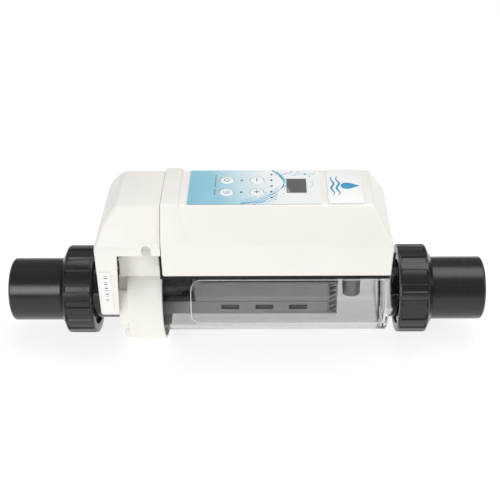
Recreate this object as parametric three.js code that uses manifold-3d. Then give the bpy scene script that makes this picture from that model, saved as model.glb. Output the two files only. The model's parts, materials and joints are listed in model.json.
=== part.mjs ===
// Inline salt chlorine generator for a 50 mm pool pipe.
//
// A clear flow cell holds a cassette of titanium plates. A black electrode head closes the cell's
// left end and is held in by a white bayonet lock ring. A union nut and a glued-in pipe tail sit
// on each end. The controller rides on top of the cell: a dark base, an ivory cover with the
// keypad on its roof, and an ivory end cap over the terminals.
//
// Millimetres. +X runs along the pipe towards the outlet, +Z is up, and the keypad is read from
// -Y. The origin is on the pipe's axis, halfway between the ends of the two tails.

import * as THREE from "three";
import { ConvexGeometry } from "three/addons/geometries/ConvexGeometry.js";
import { mergeVertices } from "three/addons/utils/BufferGeometryUtils.js";
import Module from "manifold-3d";

const wasm = await Module();
wasm.setup();

// ---- Driving dimensions -----------------------------------------------------------------------

const GAP = 0.3; // between pieces that touch
const SEGMENTS = 36; // round a large ring
const SMALL_SEGMENTS = 16; // round a stud or a post
const HOLE_SEGMENTS = 12; // round a screw hole or a pin
const CLEAN_CUT = 1; // how far a cutter runs past the face it cuts

const FLOW_RADIUS = 21; // the water way through necks and tails

const TAIL = { end: 232, radius: 31, socketRadius: 25.1, socketDepth: 35, chamfer: 2.4 };
TAIL.flangeRadius = 34.8;
TAIL.flangeInner = 170.5;
TAIL.flangeOuter = 176.5;

const NECK = { radius: 28.5, threadStart: 151, threadEnd: 170 };
const THREAD = { pitch: 5, root: 34.4, crest: 37, clearance: 0.8, stepsPerTurn: 18 };
THREAD.rootWidth = 2.6;
THREAD.crestWidth = 1.4;
THREAD.play = 0.9; // how much wider the nut's groove is
const RIDGE_START = NECK.threadStart + 2;
const SEAL_GROOVE = { inner: 24, outer: 28, depth: 2.5 };

const NUT = { inner: 148, shoulder: 175.6, outer: 180.8, radius: 42.2, mouthRadius: 32.3 };
NUT.mouthWall = 1.6;
NUT.padRadius = 43.5;
NUT.pads = 18;
NUT.padAngle = 10;
NUT.boreRadius = THREAD.root + THREAD.clearance;

const CELL = { left: -104, right: 138, radius: 41, bore: 37.5, endWall: 128 };
CELL.rim = { right: -97, radius: 43.6 };
CELL.window = { left: -53, right: 134.5, radius: 42.2, from: -18, to: 46 };

const BAYONET = { count: 4, radius: 46.4, inner: 42, angle: 38 };
BAYONET.cell = { left: -92, right: -86.8 };
BAYONET.ring = { left: -86.4, right: -82 };

const HEAD = { flangeLeft: -112.4, flangeRight: -104.4, flangeRadius: 46.2 };
HEAD.plugRight = -90;
HEAD.plugRadius = 37.2;
HEAD.sealLeft = -101;
HEAD.sealRight = -97;
HEAD.sealRadius = 35.2;
HEAD.seal = { round: 0.9, crest: HEAD.plugRadius + 0.1 };
// Blocks behind the plug that carry the studs and the plates.
const CARRIER = [
  { to: -64, half: 18, low: 5, high: 26 },
  { to: -64, half: 12, low: 25, high: 35 },
  { from: -65, to: -54, half: 15, low: 7, high: 24 },
];

const RING = { left: -121.3, step: -112.6, right: -79.3, radius: 50, flangeRadius: 48.5 };
RING.bore = 46.8;
RING.mouth = 39;
RING.edge = 1.5;
RING.wallLeft = -115.2; // the end wall's own face, where the flange is cut away
RING.cutaways = { middles: [40, 220], half: 30, inner: 41 };
RING.notches = { middles: [138, 318], half: 8, inner: 43.5 };
RING.bosses = { angles: [37.6, 217.6], distance: 44.8, radius: 5, left: -118.8 };

const CASSETTE = { left: -50, right: 80, halfWidth: 22, top: 22, bottom: -15, wall: 2 };
CASSETTE.troughLeft = -89.7;
const PLATES = { count: 5, pitch: 6.2, middle: 3.5, thickness: 1, left: -50.7, right: 86 };
PLATES.halfWidth = 19;
const WINDOWS = { lefts: [-24.7, 8.9, 42.2], length: 17.5, low: -9.6, high: -4.4 };

const COMB = { right: 89, side: 5 };

const TERMINAL = { side: 8.5, height: 31.5, radius: 2, left: -128, barX: -53, barEnd: -51.2 };
TERMINAL.strip = { half: 3, bottom: -12 };
TERMINAL.nut = { radius: 3.4, length: 3.2 };
const PROBE = { left: -122, right: -44 };
const LEAD = { radius: 1.5, steps: 18 };
// Where a lead runs, as [x, distance from the middle, z].
LEAD.route = [
  [TERMINAL.left - 1.5, TERMINAL.side, TERMINAL.height],
  [-131.4, TERMINAL.side, 36],
  [-131, TERMINAL.side, 48],
  [-127, 8, 74],
  [-112, 6, 94],
  [-92, 4, 99],
  [-64, 4, 99],
];
LEAD.hole = { radius: 9, z: 99 };

// The controller's cross-section: a wall up to the crease, then a slope to the roof.
const SHELL = { wall: 3, half: 54, crease: 84, roof: 116, roofHalf: 33 };
SHELL.insetRoof = 1.7; // how much nearer the middle the roof's inner crease is
const COVER = { left: -76, right: 136.5, roofRight: 118.5, bottom: 52.1, postHole: 70 };
COVER.posts = { radius: 4.2, bottom: 55, top: 98 };
const RIM = { crease: 87.2, roof: 118.2, roofHalf: 34.6, topRight: -61, sideRight: -47 };
RIM.footTop = -59;
RIM.footSide = -44.5;
const CAP = { right: -76.4, left: -137.5, roofLeft: -118, bottom: 74.7 };
CAP.apronRight = { top: -117, bottom: -120.2 };
CAP.apronBottom = 8;
CAP.apronChamfer = 2;
CAP.bulge = { x: -130.3, half: 42.45, z: 101.6 }; // the sloping end is a little convex
CAP.archRadius = 32;
const NOTCH = { x: -89.5, z: 81.2, radius: 4.2, floor: 41, wall: 3.6, screwTip: 27 };

const LABEL = { left: -134.5, right: -124.5, bottom: 12, top: 57 };

const TRAY = { left: -119, right: -79, half: 33.5, bottom: 30, top: 86, wall: 2.5, clearance: 0.8 };
TRAY.bar = { left: -97, half: 37, bottom: 77 }; // takes the end cap's two screws
TRAY.leadWay = { half: 14, bottom: 72 };

const BASE = { left: -74.5, right: 134.5, half: 52, bottom: 47.5, top: 50.5, cableHole: 3.5 };
BASE.lip = { inset: 2.2, thickness: 2, height: 4 };
BASE.endPlate = { left: -78.6, right: -76.4, top: 74.2 }; // stands behind the lock ring
const COVER_SCREWS = [
  [-66, -43],
  [-66, 43],
  [124, -43],
  [124, 43],
];
const FEET = [-30, 70]; // blocks on the cell that the base is screwed to
const FOOT = { halfX: 10, halfY: 14, screwHole: 41 };

const KEY = { radius: 6.6, top: 117, bottom: 115.2, stem: 2, stemBottom: 110.2, sides: 24 };
const KEYS = {
  key_power: [-16.6, 12],
  key_mode: [-16.6, -10.4],
  key_minus: [11.5, 12],
  key_plus: [11.5, -10.4],
};
const LAMPS = { radius: 1, levelX: 25.2, statusX: -2.8, top: 116.9, sides: 12 };
LAMPS.levels = [-20.7, -9.95, 0.8, 11.55, 22.3];
LAMPS.status = [-10.4, 12];
LAMPS.rail = { near: -23, far: 24.5, half: 1.5, bottom: 110.6, top: 112.6 };
const DISPLAY = { left: 39.5, right: 57.5, near: -12, far: 14, bottom: 113.4, top: 116.9 };
const OVERLAY = { left: -52, right: 71, half: 31.5, bottom: 116.3, top: 116.7 };
const NAME_PLATE = { left: 77, right: 110, top: 117 };

const SENSOR = { x: 104, radius: 9.5, bottom: -4, boss: 11.5, bossTop: 46, sides: 24 };
SENSOR.slot = { half: 4, top: 27 };
SENSOR.pin = { z: 21, radius: 1, half: 7.4 };
const PADDLE = { tip: -6, half: 3.6, thickness: 1.6, knuckle: 2.8 };
const GLAND = { x: -40, z: 68, radius: 8, sides: 24 };
GLAND.lengths = { inside: 8, hex: 6, dome: 15, nose: 18 };
GLAND.bore = 3.6; // for the supply cable

const SCREW = { head: 3.6, shank: 1.6, tapped: 1.9, clear: 2.2, headHeight: 2.3, sides: 10 };

const KEYPAD_BOARD = { left: -50, right: 70, half: 28, bottom: 106, top: 107.6, switchHalf: 3 };
const DISPLAY_MODULE = { low: [38, -14, 108.4], high: [59, 16, 113] };
const MAIN_BOARD = { left: -60, right: 120, half: 40, bottom: 57, top: 58.6 };
MAIN_BOARD.posts = { xs: [-56, 116], y: 36, radius: 3 };
const CAPACITORS = { x: 36, ys: [-26, -8], radius: 7, top: 82 };
const RELAY = { low: [20, 12], high: [48, 30], top: 76 };
const CORE = { left: -52, right: -8, half: 18, bottom: 59, top: 96, limb: 8 };
const WINDING_HALF = 23;
const HEAT_SINK = { left: 64, right: 112, half: 30, bottom: 59, foot: 3, top: 84 };
HEAT_SINK.fins = { count: 7, first: 65, pitch: 7.5, thickness: 1.6 };
const RIBBON = { bottom: 58.9, top: 105.7, lowX: 54, highX: 60, thickness: 1, width: 16 };
RIBBON.bend = { start: 80, middle: 86, end: 92, x: 57 };

// ---- Materials --------------------------------------------------------------------------------

const finish = (color, roughness, metalness = 0, opacity = 1) =>
  new THREE.MeshStandardMaterial({
    color,
    roughness,
    metalness,
    opacity,
    transparent: opacity < 1,
  });

const IVORY = finish("#f1ede4", 0.42);
const BLACK = finish("#2a2a2b", 0.35);
const CLEAR = finish("#dfe3e4", 0.05, 0, 0.3);
const DARK = finish("#3b3d3a", 0.5);
const RUBBER = finish("#1c1c1c", 0.8);
const GREY = finish("#6d6e6e", 0.5);
const TITANIUM = finish("#85847f", 0.4, 0.9);
const STEEL = finish("#b9babb", 0.3, 1);
const BRASS = finish("#b5924c", 0.35, 1);
const BOARD = finish("#1f6b45", 0.6);
const SILVER = finish("#c6c8ca", 0.35, 1);
const COPPER = finish("#a7632f", 0.45, 0.8);
const PANEL = finish("#7fc0d8", 0.35);
const WHITE = finish("#f7f7f5", 0.4);
const SMOKED = finish("#4c4d4e", 0.15);
const RED_WIRE = finish("#9c2a24", 0.5);

// ---- Solids -----------------------------------------------------------------------------------

/** A closed three.js geometry as a manifold-3d solid that faces out. */
function solid(geometry) {
  const loose = geometry.index ? geometry.toNonIndexed() : geometry;
  const bare = new THREE.BufferGeometry();
  bare.setAttribute("position", loose.getAttribute("position"));
  const merged = mergeVertices(bare, 1e-4);
  const vertProperties = merged.attributes.position.array;
  const triVerts = new Uint32Array(merged.index.array);
  const made = new wasm.Manifold(new wasm.Mesh({ numProp: 3, vertProperties, triVerts }));
  if (made.volume() > 0) return made;
  return new wasm.Manifold(
    new wasm.Mesh({ numProp: 3, vertProperties, triVerts: triVerts.reverse() }),
  );
}

/** A solid back as a geometry that a mesh can show. */
function geometryOf(made) {
  const { vertProperties, triVerts } = made.getMesh();
  const geometry = new THREE.BufferGeometry();
  geometry.setAttribute("position", new THREE.BufferAttribute(vertProperties, 3));
  geometry.setIndex(new THREE.BufferAttribute(triVerts, 1));
  geometry.computeVertexNormals();
  return geometry;
}

const join = (first, ...rest) => rest.reduce((made, piece) => made.add(piece), first);
const cut = (first, ...rest) => rest.reduce((made, piece) => made.subtract(piece), first);
const inOrder = (...numbers) => numbers.sort((a, b) => a - b);

/** A block between two corners. */
function block([x0, y0, z0], [x1, y1, z1]) {
  const geometry = new THREE.BoxGeometry(x1 - x0, y1 - y0, z1 - z0);
  return solid(geometry.translate((x0 + x1) / 2, (y0 + y1) / 2, (z0 + z1) / 2));
}

/** A round bar along one axis, from one end to the other, through the point (a, b) across it. */
function bar(axis, from, to, radius, [a, b] = [0, 0], sides = SMALL_SEGMENTS) {
  const geometry = new THREE.CylinderGeometry(radius, radius, to - from, sides);
  const middle = (from + to) / 2;
  if (axis === "x") return solid(geometry.rotateZ(Math.PI / 2).translate(middle, a, b));
  if (axis === "y") return solid(geometry.translate(a, middle, b));
  return solid(geometry.rotateX(Math.PI / 2).translate(a, b, middle));
}

/** A ring about the pipe's axis from a closed outline of [x, radius] points. */
function ring(outline, sides = SEGMENTS) {
  const points = [...outline, outline[0]].map(([x, radius]) => new THREE.Vector2(radius, x));
  return solid(new THREE.LatheGeometry(points, sides).rotateZ(-Math.PI / 2));
}

/** A sector of a ring about the pipe's axis: angles in degrees from +Y towards +Z. */
function sector(x0, x1, inner, outer, from, to, steps = 6) {
  const outline = new THREE.Shape();
  const [a, b] = [from, to].map(THREE.MathUtils.degToRad);
  outline.absarc(0, 0, outer, a, b, false);
  outline.absarc(0, 0, inner, b, a, true);
  const geometry = new THREE.ExtrudeGeometry(outline, {
    depth: x1 - x0,
    bevelEnabled: false,
    curveSegments: steps,
  });
  // The shape's own x, y and depth become Y, Z and X.
  const basis = new THREE.Matrix4().set(0, 0, 1, x0, 1, 0, 0, 0, 0, 1, 0, 0, 0, 0, 0, 1);
  return solid(geometry.applyMatrix4(basis));
}

/** Mirrored points (x, y, z) and (x, -y, z) for a body that is the same on both sides. */
const bothSides = (points) =>
  points.flatMap(([x, y, z]) => [new THREE.Vector3(x, y, z), new THREE.Vector3(x, -y, z)]);

/** A convex body through points that are given for one side only. */
const convex = (points) => solid(new ConvexGeometry(bothSides(points)));

/** A rectangular frame: an outer block with an inner block taken out. */
const frameOf = (low, high, innerLow, innerHigh) =>
  cut(block(low, high), block(innerLow, innerHigh));

/** A helical ridge of trapezoid section round +X, right-handed, buried a little at its foot. */
function helix(from, to, foot, crest, footWidth, crestWidth) {
  const turns = (to - from) / THREAD.pitch;
  const steps = Math.round(turns * THREAD.stepsPerTurn);
  const positions = [];
  const index = [];
  for (let i = 0; i <= steps; i++) {
    const angle = (2 * Math.PI * i) / THREAD.stepsPerTurn;
    const x = from + (THREAD.pitch * i) / THREAD.stepsPerTurn;
    const section = [
      [x - footWidth / 2, foot],
      [x + footWidth / 2, foot],
      [x + crestWidth / 2, crest],
      [x - crestWidth / 2, crest],
    ];
    for (const [along, radius] of section) {
      positions.push(along, radius * Math.cos(angle), radius * Math.sin(angle));
    }
  }
  for (let i = 0; i < steps; i++) {
    for (let k = 0; k < 4; k++) {
      const a = 4 * i + k;
      const b = 4 * i + ((k + 1) % 4);
      index.push(a, b, b + 4, a, b + 4, a + 4);
    }
  }
  const last = 4 * steps;
  index.push(0, 2, 1, 0, 3, 2, last, last + 1, last + 2, last, last + 2, last + 3);
  const geometry = new THREE.BufferGeometry();
  geometry.setAttribute("position", new THREE.Float32BufferAttribute(positions, 3));
  geometry.setIndex(index);
  return solid(geometry);
}

/** The same solid turned half round the vertical axis, for the left end of the pipe. */
const turned = (made) => solid(geometryOf(made).rotateZ(Math.PI));

// ---- Group and nodes --------------------------------------------------------------------------

const generator = new THREE.Group();

function add(name, made, material, parent = generator) {
  const mesh = new THREE.Mesh(geometryOf(made), material);
  mesh.name = name;
  parent.add(mesh);
  return mesh;
}

// ---- Union parts, modelled on the outlet end --------------------------------------------------

/** The threaded spigot that a union nut screws on, with its seal's groove in the end face. */
function threadedSpigot() {
  const spigot = ring([
    [NECK.threadStart, FLOW_RADIUS],
    [NECK.threadStart, THREAD.root],
    [NECK.threadEnd, THREAD.root],
    [NECK.threadEnd, FLOW_RADIUS],
  ]);
  const ridge = helix(
    RIDGE_START,
    NECK.threadEnd - 2,
    THREAD.root - 0.6,
    THREAD.crest,
    THREAD.rootWidth,
    THREAD.crestWidth,
  );
  const groove = ring([
    [NECK.threadEnd - SEAL_GROOVE.depth, SEAL_GROOVE.inner],
    [NECK.threadEnd - SEAL_GROOVE.depth, SEAL_GROOVE.outer],
    [NECK.threadEnd + CLEAN_CUT, SEAL_GROOVE.outer],
    [NECK.threadEnd + CLEAN_CUT, SEAL_GROOVE.inner],
  ]);
  return cut(join(spigot, ridge), groove);
}

/** The face seal in a spigot's groove. */
function unionSeal() {
  const left = NECK.threadEnd - SEAL_GROOVE.depth + GAP;
  const right = NECK.threadEnd + 0.2;
  const inner = SEAL_GROOVE.inner + GAP;
  const outer = SEAL_GROOVE.outer - GAP;
  const round = 0.8;
  return ring([
    [left, inner + round],
    [left, outer - round],
    [left + round, outer],
    [right - round, outer],
    [right, outer - round],
    [right, inner + round],
    [right - round, inner],
    [left + round, inner],
  ]);
}

function unionNut() {
  const shell = ring([
    [NUT.inner, NUT.boreRadius],
    [NUT.inner, NUT.radius - 1.4],
    [NUT.inner + 1, NUT.radius],
    [NUT.shoulder, NUT.radius],
    [NUT.outer - 0.8, NUT.mouthRadius + NUT.mouthWall],
    [NUT.outer, NUT.mouthRadius + NUT.mouthWall / 2],
    [NUT.outer, NUT.mouthRadius],
    [TAIL.flangeOuter + GAP, NUT.mouthRadius],
    [TAIL.flangeOuter + GAP, NUT.boreRadius],
  ]);
  const pads = Array.from({ length: NUT.pads }, (_, i) => {
    const from = (360 / NUT.pads) * i;
    const to = from + NUT.padAngle;
    return sector(NUT.inner + 2, NUT.shoulder - 1, NUT.radius - 1, NUT.padRadius, from, to, 1);
  });
  // It starts whole turns before the spigot's own thread, so that the two are in mesh.
  const thread = helix(
    RIDGE_START - 2 * THREAD.pitch,
    NECK.threadEnd + 1,
    NUT.boreRadius - 1,
    THREAD.crest + THREAD.clearance,
    THREAD.rootWidth + THREAD.play,
    THREAD.crestWidth + THREAD.play,
  );
  return cut(join(shell, ...pads), thread);
}

/** The tail that is glued on the pipe: a socket, a stop and the flange that the nut pulls in. */
function unionTail() {
  const stop = TAIL.end - TAIL.socketDepth;
  return ring([
    [TAIL.flangeInner, FLOW_RADIUS],
    [TAIL.flangeInner, TAIL.flangeRadius],
    [TAIL.flangeOuter, TAIL.flangeRadius],
    [TAIL.flangeOuter, TAIL.radius],
    [TAIL.end - TAIL.chamfer, TAIL.radius],
    [TAIL.end, TAIL.radius - TAIL.chamfer],
    [TAIL.end, TAIL.socketRadius],
    [stop, TAIL.socketRadius],
    [stop, FLOW_RADIUS],
  ]);
}

function addUnion(side, group) {
  add(`union_nut_${side}`, unionNut(), BLACK, group);
  add(`union_tail_${side}`, unionTail(), BLACK, group);
  add(`union_seal_${side}`, unionSeal(), RUBBER, group);
  generator.add(group);
}

addUnion("right", new THREE.Group());
const leftEnd = new THREE.Group();
leftEnd.rotation.z = Math.PI;
addUnion("left", leftEnd);

// ---- Clear cell -------------------------------------------------------------------------------

function bayonetLugs({ left, right }, inner, outer) {
  return Array.from({ length: BAYONET.count }, (_, i) => {
    const middle = 45 + (360 / BAYONET.count) * i;
    return sector(left, right, inner, outer, middle - BAYONET.angle / 2, middle + BAYONET.angle / 2);
  });
}

function cellHousing() {
  const tube = ring([
    [CELL.left, CELL.bore],
    [CELL.left, CELL.rim.radius],
    [CELL.rim.right, CELL.rim.radius],
    [CELL.rim.right, CELL.radius],
    [CELL.right - 2, CELL.radius],
    [CELL.right, CELL.radius - 2],
    [CELL.right, NECK.radius],
    [NECK.threadStart + 1, NECK.radius],
    [NECK.threadStart + 1, FLOW_RADIUS],
    [CELL.endWall, FLOW_RADIUS],
    [CELL.endWall, CELL.bore],
  ]);
  const { left, right, radius, from, to } = CELL.window;
  const windows = [
    sector(left, right, CELL.radius - 1, radius, from, to),
    sector(left, right, CELL.radius - 1, radius, 180 - to, 180 - from),
  ];
  const lugs = bayonetLugs(BAYONET.cell, CELL.radius - 1, BAYONET.radius);
  const { halfX, halfY, screwHole } = FOOT;
  const footTop = BASE.bottom - GAP;
  const inWall = CELL.bore + 0.7;
  const feet = FEET.map((x) => block([x - halfX, -halfY, inWall], [x + halfX, halfY, footTop]));
  const sensorPlace = [SENSOR.x, 0];
  const boss = bar("z", inWall, SENSOR.bossTop, SENSOR.boss, sensorPlace, SENSOR.sides);
  const body = join(tube, ...windows, ...lugs, ...feet, boss, threadedSpigot());
  const sensorRadius = SENSOR.radius + GAP;
  const sensorHole = bar("z", FLOW_RADIUS, BASE.bottom, sensorRadius, sensorPlace, SENSOR.sides);
  const footHoles = FEET.map((x) =>
    bar("z", screwHole, footTop + CLEAN_CUT, SCREW.tapped, [x, 0], HOLE_SEGMENTS),
  );
  return cut(body, sensorHole, ...footHoles);
}
add("clear_cell_housing", cellHousing(), CLEAR);

// ---- Electrode head, its seal and the lock ring -----------------------------------------------

function electrodeHead() {
  const body = ring([
    [-NECK.threadStart - 1, FLOW_RADIUS],
    [-NECK.threadStart - 1, NECK.radius],
    [HEAD.flangeLeft, NECK.radius],
    [HEAD.flangeLeft, HEAD.flangeRadius],
    [HEAD.flangeRight, HEAD.flangeRadius],
    [HEAD.flangeRight, HEAD.plugRadius],
    [HEAD.sealLeft, HEAD.plugRadius],
    [HEAD.sealLeft, HEAD.sealRadius],
    [HEAD.sealRight, HEAD.sealRadius],
    [HEAD.sealRight, HEAD.plugRadius],
    [HEAD.plugRight, HEAD.plugRadius],
    [HEAD.plugRight, FLOW_RADIUS],
  ]);
  const left = HEAD.plugRight - 1;
  const carrier = join(...CARRIER.map(({ from = left, to, half, low, high }) =>
    block([from, -half, low], [to, half, high]),
  ));
  const holes = [-TERMINAL.side, 0, TERMINAL.side].map((y) =>
    bar("x", CAP.left, TERMINAL.barX, TERMINAL.radius + GAP, [y, TERMINAL.height]),
  );
  return cut(join(body, turned(threadedSpigot()), carrier), ...holes);
}
add("electrode_head", electrodeHead(), BLACK);

add(
  "head_seal",
  ring([
    [HEAD.sealLeft + GAP, HEAD.sealRadius + GAP],
    [HEAD.sealLeft + GAP, HEAD.seal.crest - HEAD.seal.round],
    [HEAD.sealLeft + GAP + HEAD.seal.round, HEAD.seal.crest],
    [HEAD.sealRight - GAP - HEAD.seal.round, HEAD.seal.crest],
    [HEAD.sealRight - GAP, HEAD.seal.crest - HEAD.seal.round],
    [HEAD.sealRight - GAP, HEAD.sealRadius + GAP],
  ]),
  RUBBER,
);

/** The white ring that holds the head in: an eighth of a turn frees its bayonet lugs. */
function lockRing() {
  const shell = ring([
    [RING.left, RING.mouth],
    [RING.left, RING.flangeRadius],
    [RING.step, RING.flangeRadius],
    [RING.step, RING.radius],
    [RING.right - RING.edge, RING.radius],
    [RING.right, RING.radius - RING.edge],
    [RING.right, RING.bore],
    [HEAD.flangeLeft - GAP, RING.bore],
    [HEAD.flangeLeft - GAP, RING.mouth],
  ]);
  const lugs = bayonetLugs(BAYONET.ring, BAYONET.inner, RING.bore + 1);
  const cutterLeft = RING.left - CLEAN_CUT;
  const cutterRadius = RING.radius + CLEAN_CUT;
  const takenOut = (right, { middles, half, inner }) =>
    middles.map((middle) =>
      sector(cutterLeft, right, inner, cutterRadius, middle - half, middle + half, 10),
    );
  const notches = takenOut(RING.step - 0.6, RING.notches);
  const cutaways = takenOut(RING.wallLeft, RING.cutaways);
  const bosses = RING.bosses.angles.map((degrees) => {
    const { distance, radius, left } = RING.bosses;
    const angle = THREE.MathUtils.degToRad(degrees);
    const place = [distance * Math.cos(angle), distance * Math.sin(angle)];
    return bar("x", left, HEAD.flangeLeft - GAP, radius, place, 20);
  });
  return join(cut(join(shell, ...lugs), ...notches, ...cutaways), ...bosses);
}
add("lock_ring", lockRing(), IVORY);

// ---- Electrode pack ---------------------------------------------------------------------------

const { halfWidth, top: cassetteTop, bottom: cassetteBottom, wall } = CASSETTE;

add(
  "cassette_upper",
  cut(
    block([CASSETTE.left, -halfWidth, 0.2], [CASSETTE.right, halfWidth, cassetteTop]),
    block(
      [CASSETTE.left - 1, wall - halfWidth, -1],
      [CASSETTE.right + 1, halfWidth - wall, cassetteTop - wall],
    ),
  ),
  GREY,
);

/** The lower half is a trough that reaches into the head, with three windows on each side. */
function cassetteLower() {
  const trough = cut(
    block([CASSETTE.troughLeft, -halfWidth, cassetteBottom], [CASSETTE.right, halfWidth, -0.2]),
    block(
      [CASSETTE.troughLeft - 1, wall - halfWidth, cassetteBottom + wall],
      [CASSETTE.right + 1, halfWidth - wall, 1],
    ),
  );
  const openings = WINDOWS.lefts.map((x) =>
    block([x, -halfWidth - 1, WINDOWS.low], [x + WINDOWS.length, halfWidth + 1, WINDOWS.high]),
  );
  return cut(trough, ...openings);
}
add("cassette_lower", cassetteLower(), GREY);

const plateHeights = Array.from(
  { length: PLATES.count },
  (_, i) => PLATES.middle + (i - (PLATES.count - 1) / 2) * PLATES.pitch,
);
const plateBox = (z, grow = 0) =>
  block(
    [PLATES.left - grow, -PLATES.halfWidth - grow, z - PLATES.thickness / 2 - grow],
    [PLATES.right + grow, PLATES.halfWidth + grow, z + PLATES.thickness / 2 + grow],
  );
plateHeights.forEach((z, i) => add(`electrode_plate_${i + 1}`, plateBox(z), TITANIUM));

/** The comb at the outlet end that keeps the plates apart. */
function plateComb() {
  const left = CASSETTE.right + GAP;
  const { right, side } = COMB;
  const frame = frameOf(
    [left, -halfWidth, cassetteBottom],
    [right, halfWidth, cassetteTop],
    [left - 1, side - halfWidth, cassetteBottom + wall],
    [right + 1, halfWidth - side, cassetteTop - wall],
  );
  return cut(frame, ...plateHeights.map((z) => plateBox(z, GAP)));
}
add("plate_comb", plateComb(), GREY);

/** A stud through the head with a strip welded to its inner end that feeds the plates. */
function terminal(y) {
  const { radius, height, left, barX, barEnd, strip: flat } = TERMINAL;
  const stud = bar("x", left, barX + 0.5, radius, [y, height]);
  const strip = block([barX, y - flat.half, flat.bottom], [barEnd, y + flat.half, height + 1.5]);
  return join(stud, strip);
}
add("anode_terminal", terminal(-TERMINAL.side), TITANIUM);
add("cathode_terminal", terminal(TERMINAL.side), TITANIUM);
add(
  "salinity_probe",
  bar("x", PROBE.left, PROBE.right, TERMINAL.radius, [0, TERMINAL.height]),
  STEEL,
);

function terminalNut(y) {
  const to = HEAD.flangeLeft - GAP;
  const from = to - TERMINAL.nut.length;
  const hex = bar("x", from, to, TERMINAL.nut.radius, [y, TERMINAL.height], 6);
  const hole = bar("x", from - CLEAN_CUT, to + CLEAN_CUT, TERMINAL.radius + GAP, [y, TERMINAL.height]);
  return cut(hex, hole);
}
add("anode_nut", terminalNut(-TERMINAL.side), BRASS);
add("cathode_nut", terminalNut(TERMINAL.side), BRASS);

/** A lead from a terminal up through the end cap into the controller. */
function lead(side) {
  const route = new THREE.CatmullRomCurve3(
    LEAD.route.map(([x, y, z]) => new THREE.Vector3(x, y * side, z)),
  );
  const section = new THREE.Shape().absarc(0, 0, LEAD.radius, 0, 2 * Math.PI, false);
  const settings = { steps: LEAD.steps, curveSegments: 4, extrudePath: route };
  return solid(new THREE.ExtrudeGeometry(section, settings));
}
add("anode_lead", lead(-1), RED_WIRE);
add("cathode_lead", lead(1), RUBBER);

// ---- Flow sensor: a paddle hung from a plug in the top of the cell ----------------------------

function flowSensor() {
  const { x, radius, bottom, boss, bossTop, sides, slot, pin } = SENSOR;
  const stem = bar("z", bottom, bossTop + 0.5, radius, [x, 0], sides);
  const flange = bar("z", bossTop + 0.2, bossTop + 1.2, boss, [x, 0], sides);
  const paddleSlot = block(
    [x - radius - 1, -slot.half, bottom - 1],
    [x + radius + 1, slot.half, slot.top],
  );
  const pinReach = pin.half + 0.2;
  const pinRadius = pin.radius + GAP;
  const pinHole = bar("y", -pinReach, pinReach, pinRadius, [x, pin.z], HOLE_SEGMENTS);
  return cut(join(stem, flange), paddleSlot, pinHole);
}
add("flow_sensor", flowSensor(), GREY);

const pinPlace = [SENSOR.x, SENSOR.pin.z];
add(
  "paddle_pin",
  bar("y", -SENSOR.pin.half, SENSOR.pin.half, SENSOR.pin.radius, pinPlace, HOLE_SEGMENTS),
  STEEL,
);

function flowPaddle() {
  const { tip, half, thickness, knuckle } = PADDLE;
  const blade = block(
    [SENSOR.x - thickness / 2, -half, tip],
    [SENSOR.x + thickness / 2, half, SENSOR.pin.z + 2],
  );
  const eye = bar("y", -half, half, knuckle, pinPlace, 20);
  const pinReach = half + CLEAN_CUT;
  const pinRadius = SENSOR.pin.radius + GAP;
  const pinHole = bar("y", -pinReach, pinReach, pinRadius, pinPlace, HOLE_SEGMENTS);
  return cut(join(blade, eye), pinHole);
}
add("flow_paddle", flowPaddle(), GREY);

// ---- Controller base and seal -----------------------------------------------------------------

function controllerBase() {
  const { left, right, half, bottom, top, lip, endPlate } = BASE;
  const plate = block([endPlate.left, -half, bottom], [right, half, top]);
  const end = block([endPlate.left, -half, bottom], [endPlate.right, half, endPlate.top]);
  const outer = lip.inset;
  const inner = lip.inset + lip.thickness;
  const upstand = frameOf(
    [left + outer, -half + outer, top - 1],
    [right - outer, half - outer, top + lip.height],
    [left + inner, -half + inner, top - 2],
    [right - inner, half - inner, top + lip.height + 1],
  );
  const { xs, y, radius } = MAIN_BOARD.posts;
  const postTop = MAIN_BOARD.bottom - GAP;
  const boardPosts = xs.flatMap((x) =>
    [-y, y].map((side) => bar("z", top - 1, postTop, radius, [x, side])),
  );
  const through = (place, size) =>
    bar("z", bottom - CLEAN_CUT, top + CLEAN_CUT, size, place, HOLE_SEGMENTS);
  const screwHoles = COVER_SCREWS.map((place) => through(place, SCREW.clear));
  const footHoles = FEET.map((x) => through([x, 0], SCREW.clear));
  const cableHole = through([SENSOR.x, 0], BASE.cableHole);
  return cut(join(plate, end, upstand, ...boardPosts), ...screwHoles, ...footHoles, cableHole);
}
add("controller_base", controllerBase(), DARK);

const gasketInset = BASE.lip.inset - GAP;
add(
  "base_gasket",
  frameOf(
    [BASE.left, -BASE.half, BASE.top + GAP],
    [BASE.right, BASE.half, COVER.bottom - GAP],
    [BASE.left + gasketInset, -BASE.half + gasketInset, BASE.top - 1],
    [BASE.right - gasketInset, BASE.half - gasketInset, COVER.bottom + 1],
  ),
  RUBBER,
);

/** A screw standing along Z: its head from one height to another and its shank from tip to head. */
function uprightScrew(place, headFrom, headTo, shankFrom, shankTo) {
  const head = bar("z", headFrom, headTo, SCREW.head, place);
  const shank = bar("z", shankFrom, shankTo, SCREW.shank, place, SCREW.sides);
  return join(head, shank);
}

COVER_SCREWS.forEach((place, i) => {
  const headTop = BASE.bottom - GAP;
  const tip = COVER.postHole - 6;
  const screw = uprightScrew(place, headTop - SCREW.headHeight, headTop, headTop - 1, tip);
  add(`cover_screw_${i + 1}`, screw, STEEL);
});

FEET.forEach((x, i) => {
  const headBottom = BASE.top + GAP;
  const tip = FOOT.screwHole + 1;
  const screw = uprightScrew([x, 0], headBottom, headBottom + SCREW.headHeight, tip, headBottom + 1);
  add(`foot_screw_${i + 1}`, screw, STEEL);
});

// ---- Controller cover -------------------------------------------------------------------------

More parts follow.
